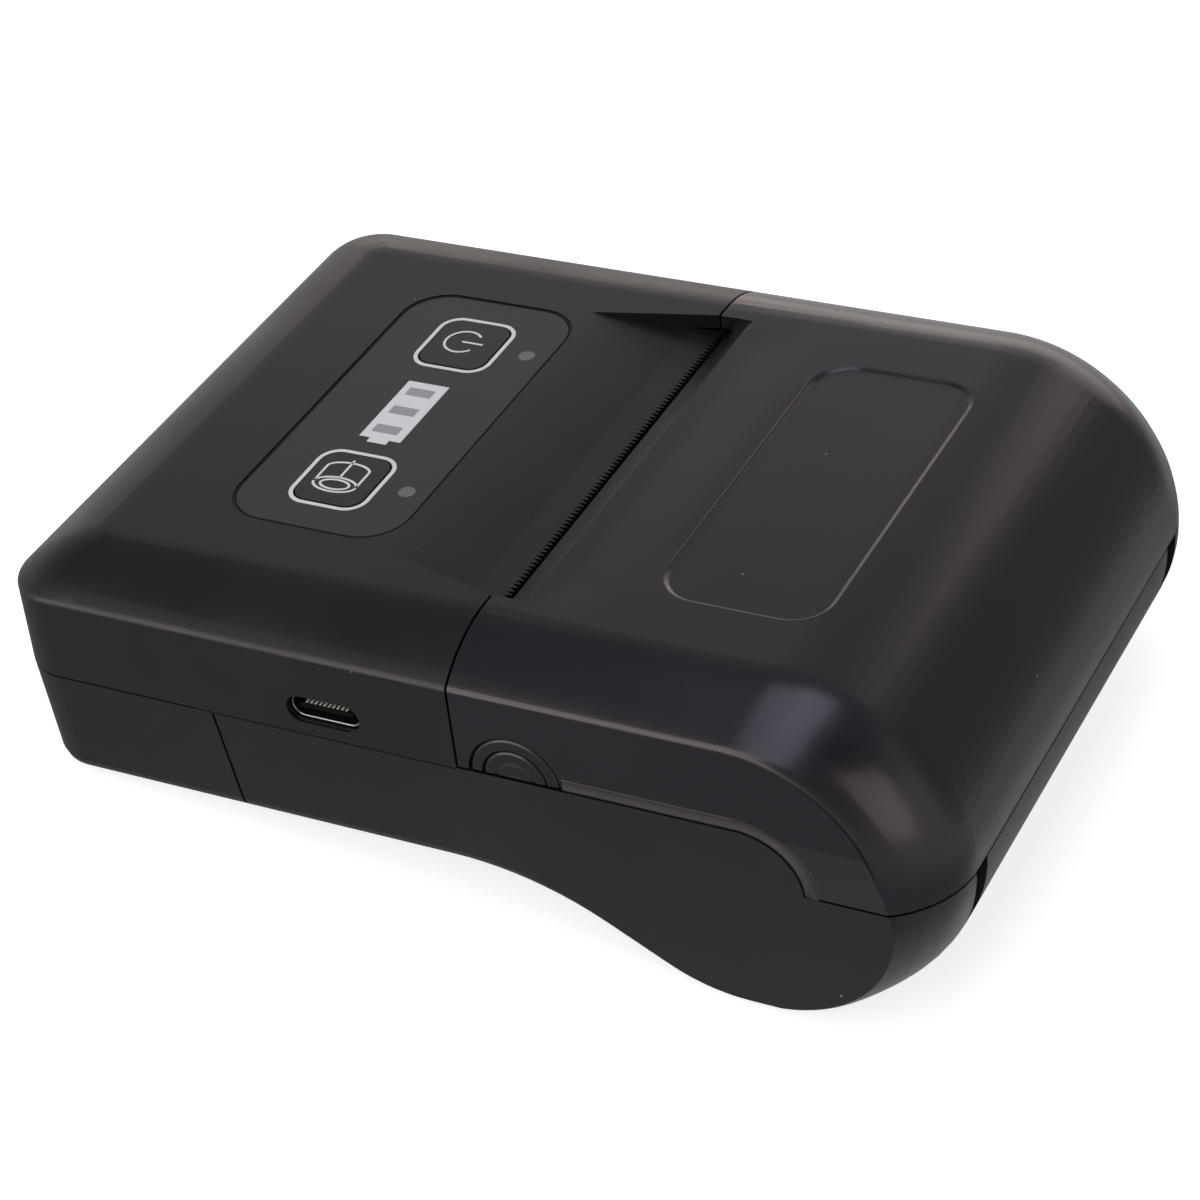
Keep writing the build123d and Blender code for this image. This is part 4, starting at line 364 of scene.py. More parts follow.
@dataclass(frozen=True)
class CoverHollow:
    """Shallow hollow of the cover's top in front of the window: the lip, the valley behind it and a soft fall."""

    lip_x: Row = (2.3, 3.2, 4.2, 5.2, 6.6, 8.0, 9.0, 14.5)
    lip_depth: Row = (0.11, 0.04, 0.0, 0.006, 0.06, 0.115, 0.125, 0.0)
    lip_sides: Pair = (25.0, 31.0)
    fall_x: Row = (14.8, 16.0, 17.5, 17.8, 19.5)
    fall_depth: Row = (0.0, 0.012, 0.09, 0.09, 0.0)
    fall_sides: Pair = (15.5, 19.0)
    cuts_x: Triple = (2.7, 19.6, 0.55)
    cuts_y: Triple = (-31.5, 31.6, 1.5)
    reach_x: Pair = (2.25, 19.6)
    flat_mm: float = 0.005

    def depth(self, x: np.ndarray, y: np.ndarray) -> np.ndarray:
        """Give how deep the cover's top lies under its highest level.

        Two rows of depths along X are joined by straight lines: the lip with its valley, and the fall to the
        window. Each is multiplied by a share that goes from one to nothing towards the sides.

        Args:
            x: places along X.
            y: places along Y.

        Returns:
            Depths.
        """
        away, shares = np.abs(y), (1.0, 0.0)
        return (np.interp(x, self.lip_x, self.lip_depth) * np.interp(away, self.lip_sides, shares)
                + np.interp(x, self.fall_x, self.fall_depth) * np.interp(away, self.fall_sides, shares))

    def cut(self, work: bmesh.types.BMesh) -> None:
        """Cut a mesh along evenly spaced planes across X, then across Y, so that its top can follow the hollow.

        Args:
            work: joined mesh of the cover.
        """
        for axis, cuts in enumerate((self.cuts_x, self.cuts_y)):
            for cut in np.arange(*cuts):
                place, normal = np.zeros(3), np.eye(3)[axis]
                place[axis] = cut * MM
                bmesh.ops.bisect_plane(work, geom=work.verts[:] + work.edges[:] + work.faces[:], dist=1e-7,
                                       plane_co=place, plane_no=normal)

    def lower(self, mesh: bpy.types.Mesh) -> None:
        """Lower the points of the flat top by the depth at their place.

        Args:
            mesh: mesh of the cover with its cuts.
        """
        places = column(mesh.vertices, "co", 3)
        x, y, z = (places / MM).T
        flat = (z > TOP - self.flat_mm) & (x > self.reach_x[0]) & (x < self.reach_x[1])
        places[flat, 2] -= self.depth(x[flat], y[flat]) * MM
        mesh.vertices.foreach_set("co", places.ravel())


@dataclass
class MouldedShell:
    """A housing part shown through a joined, smoothly shaded copy of its CAD mesh.

    The narrow bands of its rounded forms turn by up to 12 degrees, as much as the edges of the finger grips and of
    the slanted band along the cover's lower edge, so those are told apart by where they lie.
    """

    node: str
    body: Body
    slot: str
    sharp_deg: float = 18.0
    fine_deg: float = 2.5
    fine_zones: tuple = (((1.0, 40.5, 25.0), (45.0, 43.0, 34.0)), ((38.0, 40.5, 17.0), (51.5, 43.0, 25.0)))
    join_mm: float = 0.002
    upright_deg: float = 20.0
    lead: int = 50
    hollow: CoverHollow | None = None

    def build(self) -> bpy.types.Object:
        """Join the loose triangles and shade the narrow bands as one surface.

        Returns:
            The piece that stands for the node.
        """
        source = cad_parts[self.node]
        mesh = source.data.copy()
        mesh.name = f"{self.node}_joined"
        work = bmesh.new()
        work.from_mesh(mesh)
        bmesh.ops.remove_doubles(work, verts=work.verts, dist=self.join_mm * MM)
        if self.hollow:
            self.hollow.cut(work)
        work.to_mesh(mesh)
        work.free()
        if self.hollow:
            self.hollow.lower(mesh)
        mesh.shade_smooth()
        crisp = crisp_edges(mesh, self.sharp_deg, self.fine_deg, self.fine_zones)
        mark = mesh.attributes.get("sharp_edge") or mesh.attributes.new("sharp_edge", "BOOLEAN", "EDGE")
        mark.data.foreach_set("value", crisp)
        skin = self._settle(mesh)
        piece = new_piece(f"{self.node}_skin", skin, self.body, NODE_FINISH[self.node])
        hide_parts(self.node)
        return piece

    def _settle(self, mesh: bpy.types.Mesh) -> bpy.types.Mesh:
        """Weigh the normals by the size of the faces, and keep them upright along the border of the flat top.

        A corner whose point lies at the top's level, and whose normal leans by less than the upright angle, points
        straight up. The flat top then stays even, and the paper ramp leaves it in a soft curve.

        Args:
            mesh: joined mesh with its sharp edges marked.

        Returns:
            Mesh with its own corner normals.
        """
        carrier = bpy.data.objects.new("normal_carrier", mesh)
        bpy.context.scene.collection.objects.link(carrier)
        even = carrier.modifiers.new("large_faces_lead", "WEIGHTED_NORMAL")
        even.mode, even.weight, even.keep_sharp = "FACE_AREA", self.lead, True
        skin = bpy.data.meshes.new_from_object(carrier.evaluated_get(bpy.context.evaluated_depsgraph_get()))
        bpy.data.objects.remove(carrier)
        skin.name = f"{self.node}_skin"
        normals = column(skin.corner_normals, "vector", 3)
        height = column(skin.vertices, "co", 3)[column(skin.loops, "vertex_index", kind=np.int32), 2] / MM
        level = np.abs(height - TOP) < self.join_mm
        normals[level & (normals[:, 2] > math.cos(math.radians(self.upright_deg)))] = (0.0, 0.0, 1.0)
        skin.normals_split_custom_set(normals.tolist())
        return skin


def ribbon(path: np.ndarray, width: float, low: float, high: float, closed: bool) -> Arrays:
    """Carry a flat strip of even width along a plane path.

    Each path point is moved left and right by half the width along the normal of the mean direction of its two
    runs, lengthened by one over the cosine of half the turn, and repeated at both levels.

    Args:
        path: N by 2 points in millimetres.
        width: width of the strip.
        low: lower level.
        high: upper level.
        closed: whether the last point joins the first.

    Returns:
        Vertices in metres, and faces of four corners.
    """
    count = len(path)
    if closed:
        before, after = path - np.roll(path, 1, 0), np.roll(path, -1, 0) - path
    else:
        step = np.diff(path, axis=0)
        before, after = np.vstack([step[:1], step]), np.vstack([step, step[-1:]])
    before = before / np.linalg.norm(before, axis=1, keepdims=True)
    after = after / np.linalg.norm(after, axis=1, keepdims=True)
    mean = before + after
    mean = mean / np.linalg.norm(mean, axis=1, keepdims=True)
    normal = np.stack([-mean[:, 1], mean[:, 0]], axis=1)
    stretch = 1.0 / np.clip(np.sum(mean * before, axis=1), LEAST_MITRE, 1.0)
    shift = normal * (width / 2 * stretch)[:, None]
    rings = [np.column_stack([side, np.full(count, level)])
             for side, level in ((path + shift, low), (path - shift, low), (path - shift, high), (path + shift, high))]
    points = np.stack(rings, axis=1).reshape(-1, 3) * MM
    last = count if closed else count - 1
    i = np.arange(last)[:, None]
    j = (i + 1) % count
    k = np.arange(4)[None, :]
    faces = np.stack([4 * i + k, 4 * i + (k + 1) % 4, 4 * j + (k + 1) % 4, 4 * j + k], axis=-1).reshape(-1, 4)
    if not closed:
        ends = np.array([[3, 2, 1, 0], 4 * (count - 1) + np.array([0, 1, 2, 3])])
        faces = np.vstack([faces, ends])
    return points, faces


def arc(centre: Pair, radii: Pair, start: float, end: float, steps: int) -> np.ndarray:
    """Points of an ellipse's arc: centre plus radii times cosine and sine of evenly spaced angles.

    Args:
        centre: middle of the ellipse in millimetres.
        radii: half axes along X and Y.
        start: first angle in degrees.
        end: last angle in degrees.
        steps: number of points.

    Returns:
        Points as an N by 2 array.
    """
    turn = np.radians(np.linspace(start, end, steps))
    return np.column_stack([centre[0] + radii[0] * np.cos(turn), centre[1] + radii[1] * np.sin(turn)])


def rounded_frame(centre: Pair, length: float, width: float, rounding: float) -> np.ndarray:
    """Closed outline of a rectangle with round corners: four quarter arcs one after the other.

    Args:
        centre: middle in millimetres.
        length: size along X.
        width: size along Y.
        rounding: corner radius.

    Returns:
        Points as an N by 2 array, anticlockwise.
    """
    half = np.array([length / 2 - rounding, width / 2 - rounding])
    corners = ((1, 1, 0), (-1, 1, 90), (-1, -1, 180), (1, -1, 270))
    return np.vstack([arc((centre[0] + sx * half[0], centre[1] + sy * half[1]), (rounding, rounding),
                          angle, angle + 90, CORNER_STEPS) for sx, sy, angle in corners])


def closed_sheet(front: np.ndarray, back: np.ndarray) -> Arrays:
    """Close two grids of points into one solid with a wall along each of its four borders.

    Args:
        front: rows by columns by 3 points in millimetres.
        back: the same grid on the other face.

    Returns:
        Vertices in metres, and faces of four corners.
    """
    rows, columns = front.shape[:2]
    number = np.arange(rows * columns).reshape(rows, columns)
    cells = np.stack([number[:-1, :-1], number[1:, :-1], number[1:, 1:], number[:-1, 1:]], axis=-1).reshape(-1, 4)
    faces = [cells, cells[:, ::-1] + rows * columns]
    for border in (number[0], number[:, -1], number[-1, ::-1], number[::-1, 0]):
        start, end = border[:-1], border[1:]
        faces.append(np.stack([start, end, end + rows * columns, start + rows * columns], axis=1))
    return np.vstack([front.reshape(-1, 3), back.reshape(-1, 3)]) * MM, np.vstack(faces)


def wrapped_faces(rows: int, columns: int) -> np.ndarray:
    """Faces of a grid that closes on itself both ways, as a ring of closed sections does.

    Args:
        rows: number of rows of points.
        columns: points in each row.

    Returns:
        Faces of four corners.
    """
    i, j = np.meshgrid(np.arange(rows), np.arange(columns), indexing="ij")
    ahead, after = (i + 1) % rows, (j + 1) % columns
    return np.stack([i * columns + j, ahead * columns + j, ahead * columns + after, i * columns + after],
                    axis=-1).reshape(-1, 4)


def solid_piece(name: str, parts: list[Arrays], body: Body, finish: Finish,
                crisp_deg: float | None = 35.0) -> bpy.types.Object:
    """Make one piece of several closed solids.

    Args:
        name: name of the piece.
        parts: vertices in metres and faces of each solid.
        body: body it moves with.
        finish: its material.
        crisp_deg: the piece is smooth, and an edge that turns by more stays sharp. None leaves it as it is.

    Returns:
        The new object.
    """
    starts = np.cumsum([0] + [len(points) for points, _ in parts])
    mesh = bpy.data.meshes.new(name)
    mesh.from_pydata(np.vstack([points for points, _ in parts]).tolist(), [],
                     np.vstack([faces + start for (_, faces), start in zip(parts, starts)]).tolist())
    work = bmesh.new()
    work.from_mesh(mesh)
    if crisp_deg is not None:
        bmesh.ops.remove_doubles(work, verts=work.verts, dist=MERGE_MM * MM)
    bmesh.ops.recalc_face_normals(work, faces=work.faces)
    work.to_mesh(mesh)
    work.free()
    if crisp_deg is not None:
        mesh.shade_smooth()
        mesh.set_sharp_from_angle(angle=math.radians(crisp_deg))
    return new_piece(name, mesh, body, finish)


def printed(name: str, strips: list[tuple[np.ndarray, float, bool]], low: float, body: Body, finish: Finish,
            thickness: float = INK_HEIGHT) -> bpy.types.Object:
    """Lay printed strips, or strips of painted shade, on a surface as one thin piece.

    Args:
        name: name of the piece.
        strips: path, width and whether it is closed, for each strip.
        low: level of the surface in millimetres.
        body: body it moves with.
        finish: its ink, or the black of painted shade.
        thickness: height of the ink.

    Returns:
        The new object.
    """
    parts = [ribbon(path, width, low - INK_ROOT, low + thickness, closed) for path, width, closed in strips]
    return solid_piece(name, parts, body, finish, None)


def stencil(x_cuts: Row, y_cuts: Row, filled: np.ndarray, low: float,
            high: float) -> Arrays:
    """Thin plate with square windows, as cells between cuts along X and Y.

    Each filled cell has a top and a bottom, and a wall on each side whose neighbour is empty.

    Args:
        x_cuts: rising cut lines along X in millimetres.
        y_cuts: rising cut lines along Y in millimetres.
        filled: array of booleans, one for each cell.
        low: lower level.
        high: upper level.

    Returns:
        Vertices in metres, and faces of four corners.
    """
    columns, rows = len(x_cuts), len(y_cuts)
    grid_x, grid_y = np.meshgrid(x_cuts, y_cuts, indexing="ij")
    layers = [np.column_stack([grid_x.ravel(), grid_y.ravel(), np.full(grid_x.size, level)]) for level in (low, high)]
    above = columns * rows
    i, j = np.nonzero(filled)
    corner = {(a, b): (i + a) * rows + (j + b) for a in (0, 1) for b in (0, 1)}
    round_about = [corner[0, 0], corner[1, 0], corner[1, 1], corner[0, 1]]
    faces = [np.stack([c + above for c in round_about], axis=1), np.stack(round_about[::-1], axis=1)]
    padded = np.pad(filled, 1)
    for side, (step_i, step_j) in enumerate(((0, -1), (1, 0), (0, 1), (-1, 0))):
        bare = ~padded[i + 1 + step_i, j + 1 + step_j]
        start, end = round_about[side][bare], round_about[(side + 1) % 4][bare]
        faces.append(np.stack([start, end, end + above, start + above], axis=1))
    return np.vstack(layers) * MM, np.vstack(faces)


@dataclass
class PanelMarks:
    """Printed marks of the control panel, and a dead black line of painted shade in the gap round it."""

    panel_top: float = 40.4
    key_top: float = TOP
    panel_x: float = -25.4
    key_x: float = -25.6
    key_y: float = 14.8
    ring_length: float = 9.74
    ring_width: float = 10.54
    ring_round: float = 2.4
    ring_line: float = 0.5
    icon_line: float = 0.31
    border_length: float = 22.5
    border_width: float = 49.3
    border_round: float = 5.4
    border_line: float = 0.26
    gap_shade_height: float = 0.01
    key_ink: float = 0.008
    power_shift: Pair = (-0.5, 0.5)
    power_radius: float = 2.25
    power_gap_deg: float = 40.0
    power_stroke: Pair = (-0.1, 2.7)
    roll_shift: float = -0.35
    roll_near: float = -1.25
    roll_far: float = 1.9
    roll_rim: Pair = (2.75, 1.38)
    roll_core: Pair = (1.85, 0.9)
    roll_far_rise: float = 1.2
    sheet_shift: float = -0.1
    sheet_end: float = 1.75
    gauge_x: Row = (-28.3, -27.4, -26.85, -24.3, -24.0, -22.85)
    gauge_y: Row = (-7.07, -6.2, -4.98, -3.33, -0.98, 0.67, 3.02, 4.67, 5.87)

    def build(self) -> None:
        """Lay the rings round the keys, the painted shade in the gap round the overlay, the icons and the gauge frame.
        """
        for side, name in ((1, "power_ring"), (-1, "feed_ring")):
            ring = rounded_frame((self.key_x, side * self.key_y), self.ring_length, self.ring_width, self.ring_round)
            printed(name, [(ring, self.ring_line, True)], self.panel_top, Body.HOUSING, MARK_INK)
        # Painted shade: a dead black line along the overlay's edge stands for the shadow in the gap round it.
        border = rounded_frame((self.panel_x, 0.0), self.border_length - self.border_line,
                               self.border_width - self.border_line, self.border_round)
        printed("panel_gap_painted_shade", [(border, self.border_line, True)], self.panel_top, Body.HOUSING, DEAD_BLACK_AND_PAINTED_SHADE,
                thickness=self.gap_shade_height)
        self._power_icon()
        self._feed_icon()
        self._gauge()

    def _power_icon(self) -> None:
        """Open circle with a stroke through its gap, which faces +X."""
        x, y = self.key_x + self.power_shift[0], self.key_y + self.power_shift[1]
        circle = arc((x, y), (self.power_radius, self.power_radius), self.power_gap_deg, 360 - self.power_gap_deg, 48)
        stroke = np.array([[x + end, y] for end in self.power_stroke])
        printed("power_icon", [(circle, self.icon_line, False), (stroke, self.icon_line, False)],
                self.key_top, Body.POWER_KEY, MARK_INK, thickness=self.key_ink)

    def _feed_icon(self) -> None:
        """Paper roll seen at an angle: the near end as two ellipses, two sides, the far edge and the paper's end."""
        x, near, far = self.key_x + self.roll_shift, self.roll_near - self.key_y, self.roll_far - self.key_y
        half, rise = self.roll_rim
        rim = arc((x, near), self.roll_rim, 0, 354, 60)
        core = arc((x, near), self.roll_core, 0, 352, 44)
        edge = arc((x, far), (half, self.roll_far_rise), 0, 180, 40)
        back = np.vstack([[[x + half, near]], edge, [[x - half, near]]])
        sheet = np.array([[x + self.sheet_shift, far + self.sheet_end], [x + self.sheet_shift, near + rise]])
        printed("feed_icon", [(rim, self.icon_line, True), (core, self.icon_line, True),
                              (back, self.icon_line, False), (sheet, self.icon_line, False)],
                self.key_top, Body.FEED_KEY, MARK_INK, thickness=self.key_ink)

    def _gauge(self) -> None:
        """Filled battery shape with three windows and a nub at -Y."""
        filled = np.ones((len(self.gauge_x) - 1, len(self.gauge_y) - 1), bool)
        filled[:, 0] = [False, False, True, False, False]
        for row in (2, 4, 6):
            filled[1:4, row] = False
        plate = stencil(self.gauge_x, self.gauge_y, filled, self.panel_top - INK_ROOT, self.panel_top + INK_HEIGHT)
        solid_piece("gauge_frame", [plate], Body.HOUSING, MARK_INK, None)


@dataclass
class ChargingSocket:
    """Charging socket with its shell, tongue and row of contacts."""

    mouth_back: float = 0.55
    wall: float = 0.24
    lip_share: float = 0.25
    tongue_width: float = 6.7
    tongue_front: float = 0.08
    overlap: float = 0.1
    count: int = 10
    pitch: float = 0.56
    contact_width: float = 0.3
    contact_length: float = 1.6
    contact_back: float = 0.08
    root: float = 0.05
    proud: float = 0.04
    steps: int = 16

    def build(self) -> None:
        """Draw the shell, the tongue carried forward to its real length, and the contacts on its upper face."""
        self._shell()
        shell_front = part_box("usb_socket")[0][1] / MM + self.mouth_back
        low, high = (np.array(corner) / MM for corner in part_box("usb_tongue"))
        middle, top, front = 0.5 * (low[0] + high[0]), high[2], shell_front + self.tongue_front
        run = np.array([[middle, front], [middle, low[1] + self.overlap]])
        tongue = ribbon(run, self.tongue_width, low[2], top, False)
        solid_piece("usb_tongue_front", [tongue], Body.HOUSING, DEAD_BLACK_AND_PAINTED_SHADE)
        columns = middle + self.pitch * (np.arange(self.count) - (self.count - 1) / 2)
        start = front + self.contact_back
        bars = [ribbon(np.array([[x, start], [x, start + self.contact_length]]), self.contact_width,
                       top - self.root, top + self.proud, False) for x in columns]
        # The contacts' near-white, mostly diffuse finish is a painted glint.
        solid_piece("usb_contacts", bars, Body.HOUSING, CONTACT_PAINTED_GLINT)

    def _shell(self) -> None:
        """Carry the wall of the socket along Y: a rounded slot, with a soft lip at its mouth.

        The section is a slot of the node's width and height, whose ends are half circles. Its rows go from the
        inner back edge over the mouth to the outer back edge.
        """
        low, high = (np.array(corner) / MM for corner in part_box("usb_socket"))
        radius, reach = 0.5 * (high[2] - low[2]), 0.5 * (high[0] - low[0])
        middle = 0.5 * (low + high)
        front, back, lip = low[1] + self.mouth_back, high[1], self.lip_share * self.wall
        turn = np.radians(np.concatenate([np.linspace(-90, 90, self.steps), np.linspace(90, 270, self.steps)]))
        side = np.where(np.arange(2 * self.steps) < self.steps, 1.0, -1.0)
        rows = ((self.wall, back), (self.wall, front + lip), (self.wall - lip, front), (lip, front),
                (0.0, front + lip), (0.0, back))
        grid = np.stack([np.column_stack([middle[0] + side * (reach - radius) + (radius - inset) * np.cos(turn),
                                          np.full(turn.size, y), middle[2] + (radius - inset) * np.sin(turn)])
                         for inset, y in rows])
        shell = solid_piece("usb_shell", [(grid.reshape(-1, 3) * MM, wrapped_faces(len(rows), turn.size))],
                            Body.HOUSING, PLATED_STEEL)
        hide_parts("usb_socket")


@dataclass
class TearBlade:
    """Tear blade with fine teeth, in the place of the coarser blade of the CAD model."""

    tip_x: float = 1.6
    length: float = 4.0
    half: float = 28.05
    pitch: float = 0.7
    depth: float = 0.9
    ramp_x: float = -14.0
    ramp_length: float = 15.3
    ramp_drop: float = 2.7
    thickness: float = 0.36
    sink: float = 0.01

    def build(self) -> None:
        """Cut the teeth along the rear edge.

        The edge is a triangle wave along Y: its X is the tip less twice the depth times the distance from the
        nearest tip in pitches. The blade follows the ramp, whose level falls in proportion to X.
        """
        teeth = int(2 * self.half / self.pitch)
        y = np.linspace(-self.half, self.half, 2 * teeth + 1)
        edge = self.tip_x - self.depth * (np.arange(y.size) % 2 == 0)
        x = np.stack([np.full(y.size, self.tip_x - self.length), np.full(y.size, self.tip_x - 2 * self.depth), edge])
        level = TOP - self.ramp_drop * (x - self.ramp_x) / self.ramp_length
        front = np.stack([x, np.broadcast_to(y, x.shape), level - self.sink], axis=-1)
        back = front - np.array([0.0, 0.0, self.thickness])
        blade = solid_piece("tear_blade", [closed_sheet(front, back)], Body.HOUSING, BLACKED_STEEL)
        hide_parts("tear_bar")


@dataclass
class FingerGrip:
    """Three rings of the finger grips at the cover's lower edge, with a narrow groove under each ring's rim."""

    x: float = 8.5
    z: float = 25.8
    side_y: float = 41.5
    draft: float = 0.0214
    low_z: float = 26.12
    radii: Row = (5.6, 4.0, 2.4)
    depths: Row = (0.37, 0.36, 0.14)
    section_away: Row = (0.0, 0.10, 0.42, 0.48, 0.54, 0.62, 1.1, 1.4, 1.55, 1.6)
    section_share: Row = (1.0, 1.0, 0.27, 0.18, 0.13, 0.11, 0.11, 0.11, 0.10, 0.10)
    least_depth: float = 0.035
    core: Pair = (0.35, 0.04)
    step: float = 0.012
    deep: int = 2
    groove_away: Row = (0.02, 0.10, 0.33)
    groove_share: Row = (1.0, 1.0, 0.48)
    back: float = 0.5
    edge: float = 0.12
    steps: int = 121

    def build(self) -> None:
        """Lay one plate into the recess on each side, and a dead black strip of painted shade into each of the deep
        grooves.
        """
        radii, depths = self._profile()
        plates = [closed_sheet(*self._plate(side, radii, depths)) for side in (-1, 1)]
        solid_piece("finger_grips", plates, Body.COVER, COVER_ABS, crisp_deg=50.0)
        # Painted shade: dead black strips laid into the deep grooves stand for the shadow there.
        away, share = np.array(self.groove_away), np.array(self.groove_share)
        strips = [closed_sheet(*self._plate(side, rim - away, depth * share - self.step))
                  for rim, depth in zip(self.radii[:self.deep], self.depths[:self.deep]) for side in (-1, 1)]
        solid_piece("grip_groove_painted_shade", strips, Body.COVER, DEAD_BLACK_AND_PAINTED_SHADE, crisp_deg=50.0)

    def _profile(self) -> Arrays:
        """Radius and depth of the section, from the outer rim to the middle.

        Each ring has a groove at its rim, then a rounded crest, then a flat floor up to the next rim.

        Returns:
            Radii, and how deep each lies under the side wall.
        """
        away, share = np.array(self.section_away), np.array(self.section_share)
        radii = np.concatenate([rim - away for rim in self.radii] + [self.core[:1]])
        depths = np.concatenate([np.maximum(share * depth, self.least_depth) for depth in self.depths]
                                + [self.core[1:]])
        radii[np.arange(1, len(self.radii)) * away.size - 1] += self.step
        return radii, depths

    def _plate(self, side: int, radii: np.ndarray, depths: np.ndarray) -> Arrays:
        """Grid of radius by angle, laid on the leaning side wall and rounded off at the lower edge.

        The angle runs as the cosine of an even parameter, so that its points crowd at the lower edge, and starts
        where the circle meets that edge.

        Args:
            side: one for +Y and minus one for -Y.
            radii: radii of the section's points, from the rim inwards.
            depths: how deep each of them lies under the side wall.

        Returns:
            Outer and inner grids of points.
        """
        lowest = self.low_z - self.z
        start = np.arcsin(np.clip(lowest / radii, 0.0, 1.0))
        share = 0.5 - 0.5 * np.cos(np.pi * np.linspace(0.0, 1.0, self.steps))
        angle = start[:, None] + (np.pi - 2 * start)[:, None] * share[None, :]
        x = self.x + radii[:, None] * np.cos(angle)
        height = radii[:, None] * np.sin(angle)
        near = np.clip(self.edge - (height - lowest), 0.0, self.edge)
        drop = self.edge - np.sqrt(self.edge ** 2 - near ** 2)
        wall = self.side_y - self.draft * height
        return tuple(np.stack([x, side * (wall - depth), self.z + height], axis=-1)
                     for depth in (depths[:, None] + drop, np.full_like(drop, self.back)))


@dataclass
class CoverSkirt:
    """Slanted band along the cover's lower edge, with a fine bead on its upper edge, from the grip round the arc."""

    start_x: float = 14.2
    horn_x: float = 34.1
    horn_z: float = 18.5
    radius: float = 7.3
    seam_z: float = 25.8
    side_y: float = 41.5
    draft: float = 0.0214
    foot_draft: float = 0.0476
    gaps: Row = (0.09, 0.13, 1.40, 1.50, 1.58, 1.66, 1.72)
    insets: Row = (0.12, 0.10, 0.008, -0.006, -0.012, -0.004, 0.05)
    back: float = 0.45
    runs: int = 24
    turns: int = 41

    def build(self) -> None:
        """Carry the band's section along the seam on both sides."""
        bands = [closed_sheet(*self._band(side)) for side in (-1, 1)]
        # The band's lighter, pinker base colour is a painted reflection of the table.
        solid_piece("cover_skirt_band", bands, Body.COVER, SKIRT_ABS_PAINTED_REFLECTION, crisp_deg=60.0)

    def _band(self, side: int) -> Arrays:
        """Grid of gap over the seam by distance along it: a level run, then a quarter circle down to the rear.

        The side wall leans in from the seam's level, upwards by one draft and downwards by the other.

        Args:
            side: one for +Y and minus one for -Y.

        Returns:
            Outer and inner grids of points.
        """
        gaps = np.array(self.gaps)[:, None]
        level = np.linspace(self.start_x, self.horn_x, self.runs)[None, :-1]
        turn = np.radians(np.linspace(90.0, 0.0, self.turns))[None, :]
        x = np.hstack([np.broadcast_to(level, (gaps.size, level.size)),
                       self.horn_x + (self.radius + gaps) * np.cos(turn)])
        z = np.hstack([np.broadcast_to(self.seam_z + gaps, (gaps.size, level.size)),
                       self.horn_z + (self.radius + gaps) * np.sin(turn)])
        above = z - self.seam_z
        wall = self.side_y - np.where(above > 0, self.draft * above, -self.foot_draft * above)
        return tuple(np.stack([x, side * (wall - inset), z], axis=-1)
                     for inset in (np.array(self.insets)[:, None], np.full_like(gaps, self.back)))


@dataclass
class WindowRim:
    """Rounded edge and steep wall of the shallow window in the cover, which catch the light as fine lines."""

    centre_x: float = 27.55
    length: float = 20.1
    width: float = 48.0
    corner: float = 5.0
    floor: float = 40.15
    fall_from: float = 35.0
    fall: float = 0.018
    round: float = 0.2
    slope_deg: float = 60.0
    steps: int = 8
    root: Triple = (0.1, -1.3, -0.2)
    hollow: CoverHollow = field(default_factory=CoverHollow)

    def _section(self) -> np.ndarray:
        """Give the section as rows of way outwards and share of the window's depth: a round edge, then the wall.

        Returns:
            The closed section. Its last three points lie within the cover.
        """
        depth = TOP - self.floor
        turn = np.linspace(0.0, np.radians(self.slope_deg), self.steps)
        edge = np.column_stack([-self.round * np.sin(turn), -self.round * (1.0 - np.cos(turn)) / depth])
        left = (1.0 + edge[-1, 1]) * depth
        foot = edge[-1, 0] - left / np.tan(np.radians(self.slope_deg))
        within, lowest, shoulder = self.root
        return np.vstack([edge, [[foot, -1.0], [foot, lowest], [within, lowest], [within, shoulder]]])

    def build(self) -> None:
        """Carry the section along the window's outline.

        The cover's level falls behind a given X with the square of the way, and in front of the window by the
        hollow's depth, and the section is lowered with it.
        """
        line = rounded_frame((self.centre_x, 0.0), self.length, self.width, self.corner)
        way = np.roll(line, -1, 0) - np.roll(line, 1, 0)
        way /= np.linalg.norm(way, axis=1, keepdims=True)
        outward = np.column_stack([way[:, 1], -way[:, 0]])
        section = self._section()
        plan = line[:, None, :] + outward[:, None, :] * section[None, :, :1]
        level = TOP - self.fall * np.clip(plan[..., 0] - self.fall_from, 0.0, None) ** 2
        level -= self.hollow.depth(plan[..., 0], plan[..., 1])
        height = level + section[None, :, 1] * (level - self.floor)
        points = np.concatenate([plan, height[..., None]], axis=-1).reshape(-1, 3) * MM
        solid_piece("window_rim_round", [(points, wrapped_faces(len(line), len(section)))], Body.COVER, COVER_ABS,
                    crisp_deg=40.0)


@dataclass
class SeamLips:
    """Shallow lips that leave only a fine line between the two housings."""

    x_front: float = -32.0
    x_back: float = 1.2
    low: float = 25.5
    high: float = 25.85
    face: float = 41.40
    root: float = 40.9

    def build(self) -> None:
        """Lay one straight bar into the groove on each side."""
        middle, width = 0.5 * (self.face + self.root), self.face - self.root
        bars = [ribbon(np.array([[self.x_front, side * middle], [self.x_back, side * middle]]), width,
                       self.low, self.high, False) for side in (-1, 1)]
        solid_piece("seam_lips", bars, Body.HOUSING, HOUSING_ABS)


@dataclass
class HeadSprings:
    """Springs behind the thermal head, which shorten as the head tilts back."""

    seat_x: float = -7.4
    pivot_z: float = 20.8
    tilt_deg: float = 3.0
    spare: float = 0.12

    def build(self) -> None:
        """Show the node through a plain copy of its mesh.
        """
        low, high = (np.array(corner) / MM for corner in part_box("head_springs"))
        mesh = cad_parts["head_springs"].data.copy()
        mesh.name = "head_springs_sprung"
        springs = new_piece("head_springs_sprung", mesh, Body.HOUSING, GROUND_STEEL)
        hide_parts("head_springs")
        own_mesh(springs)


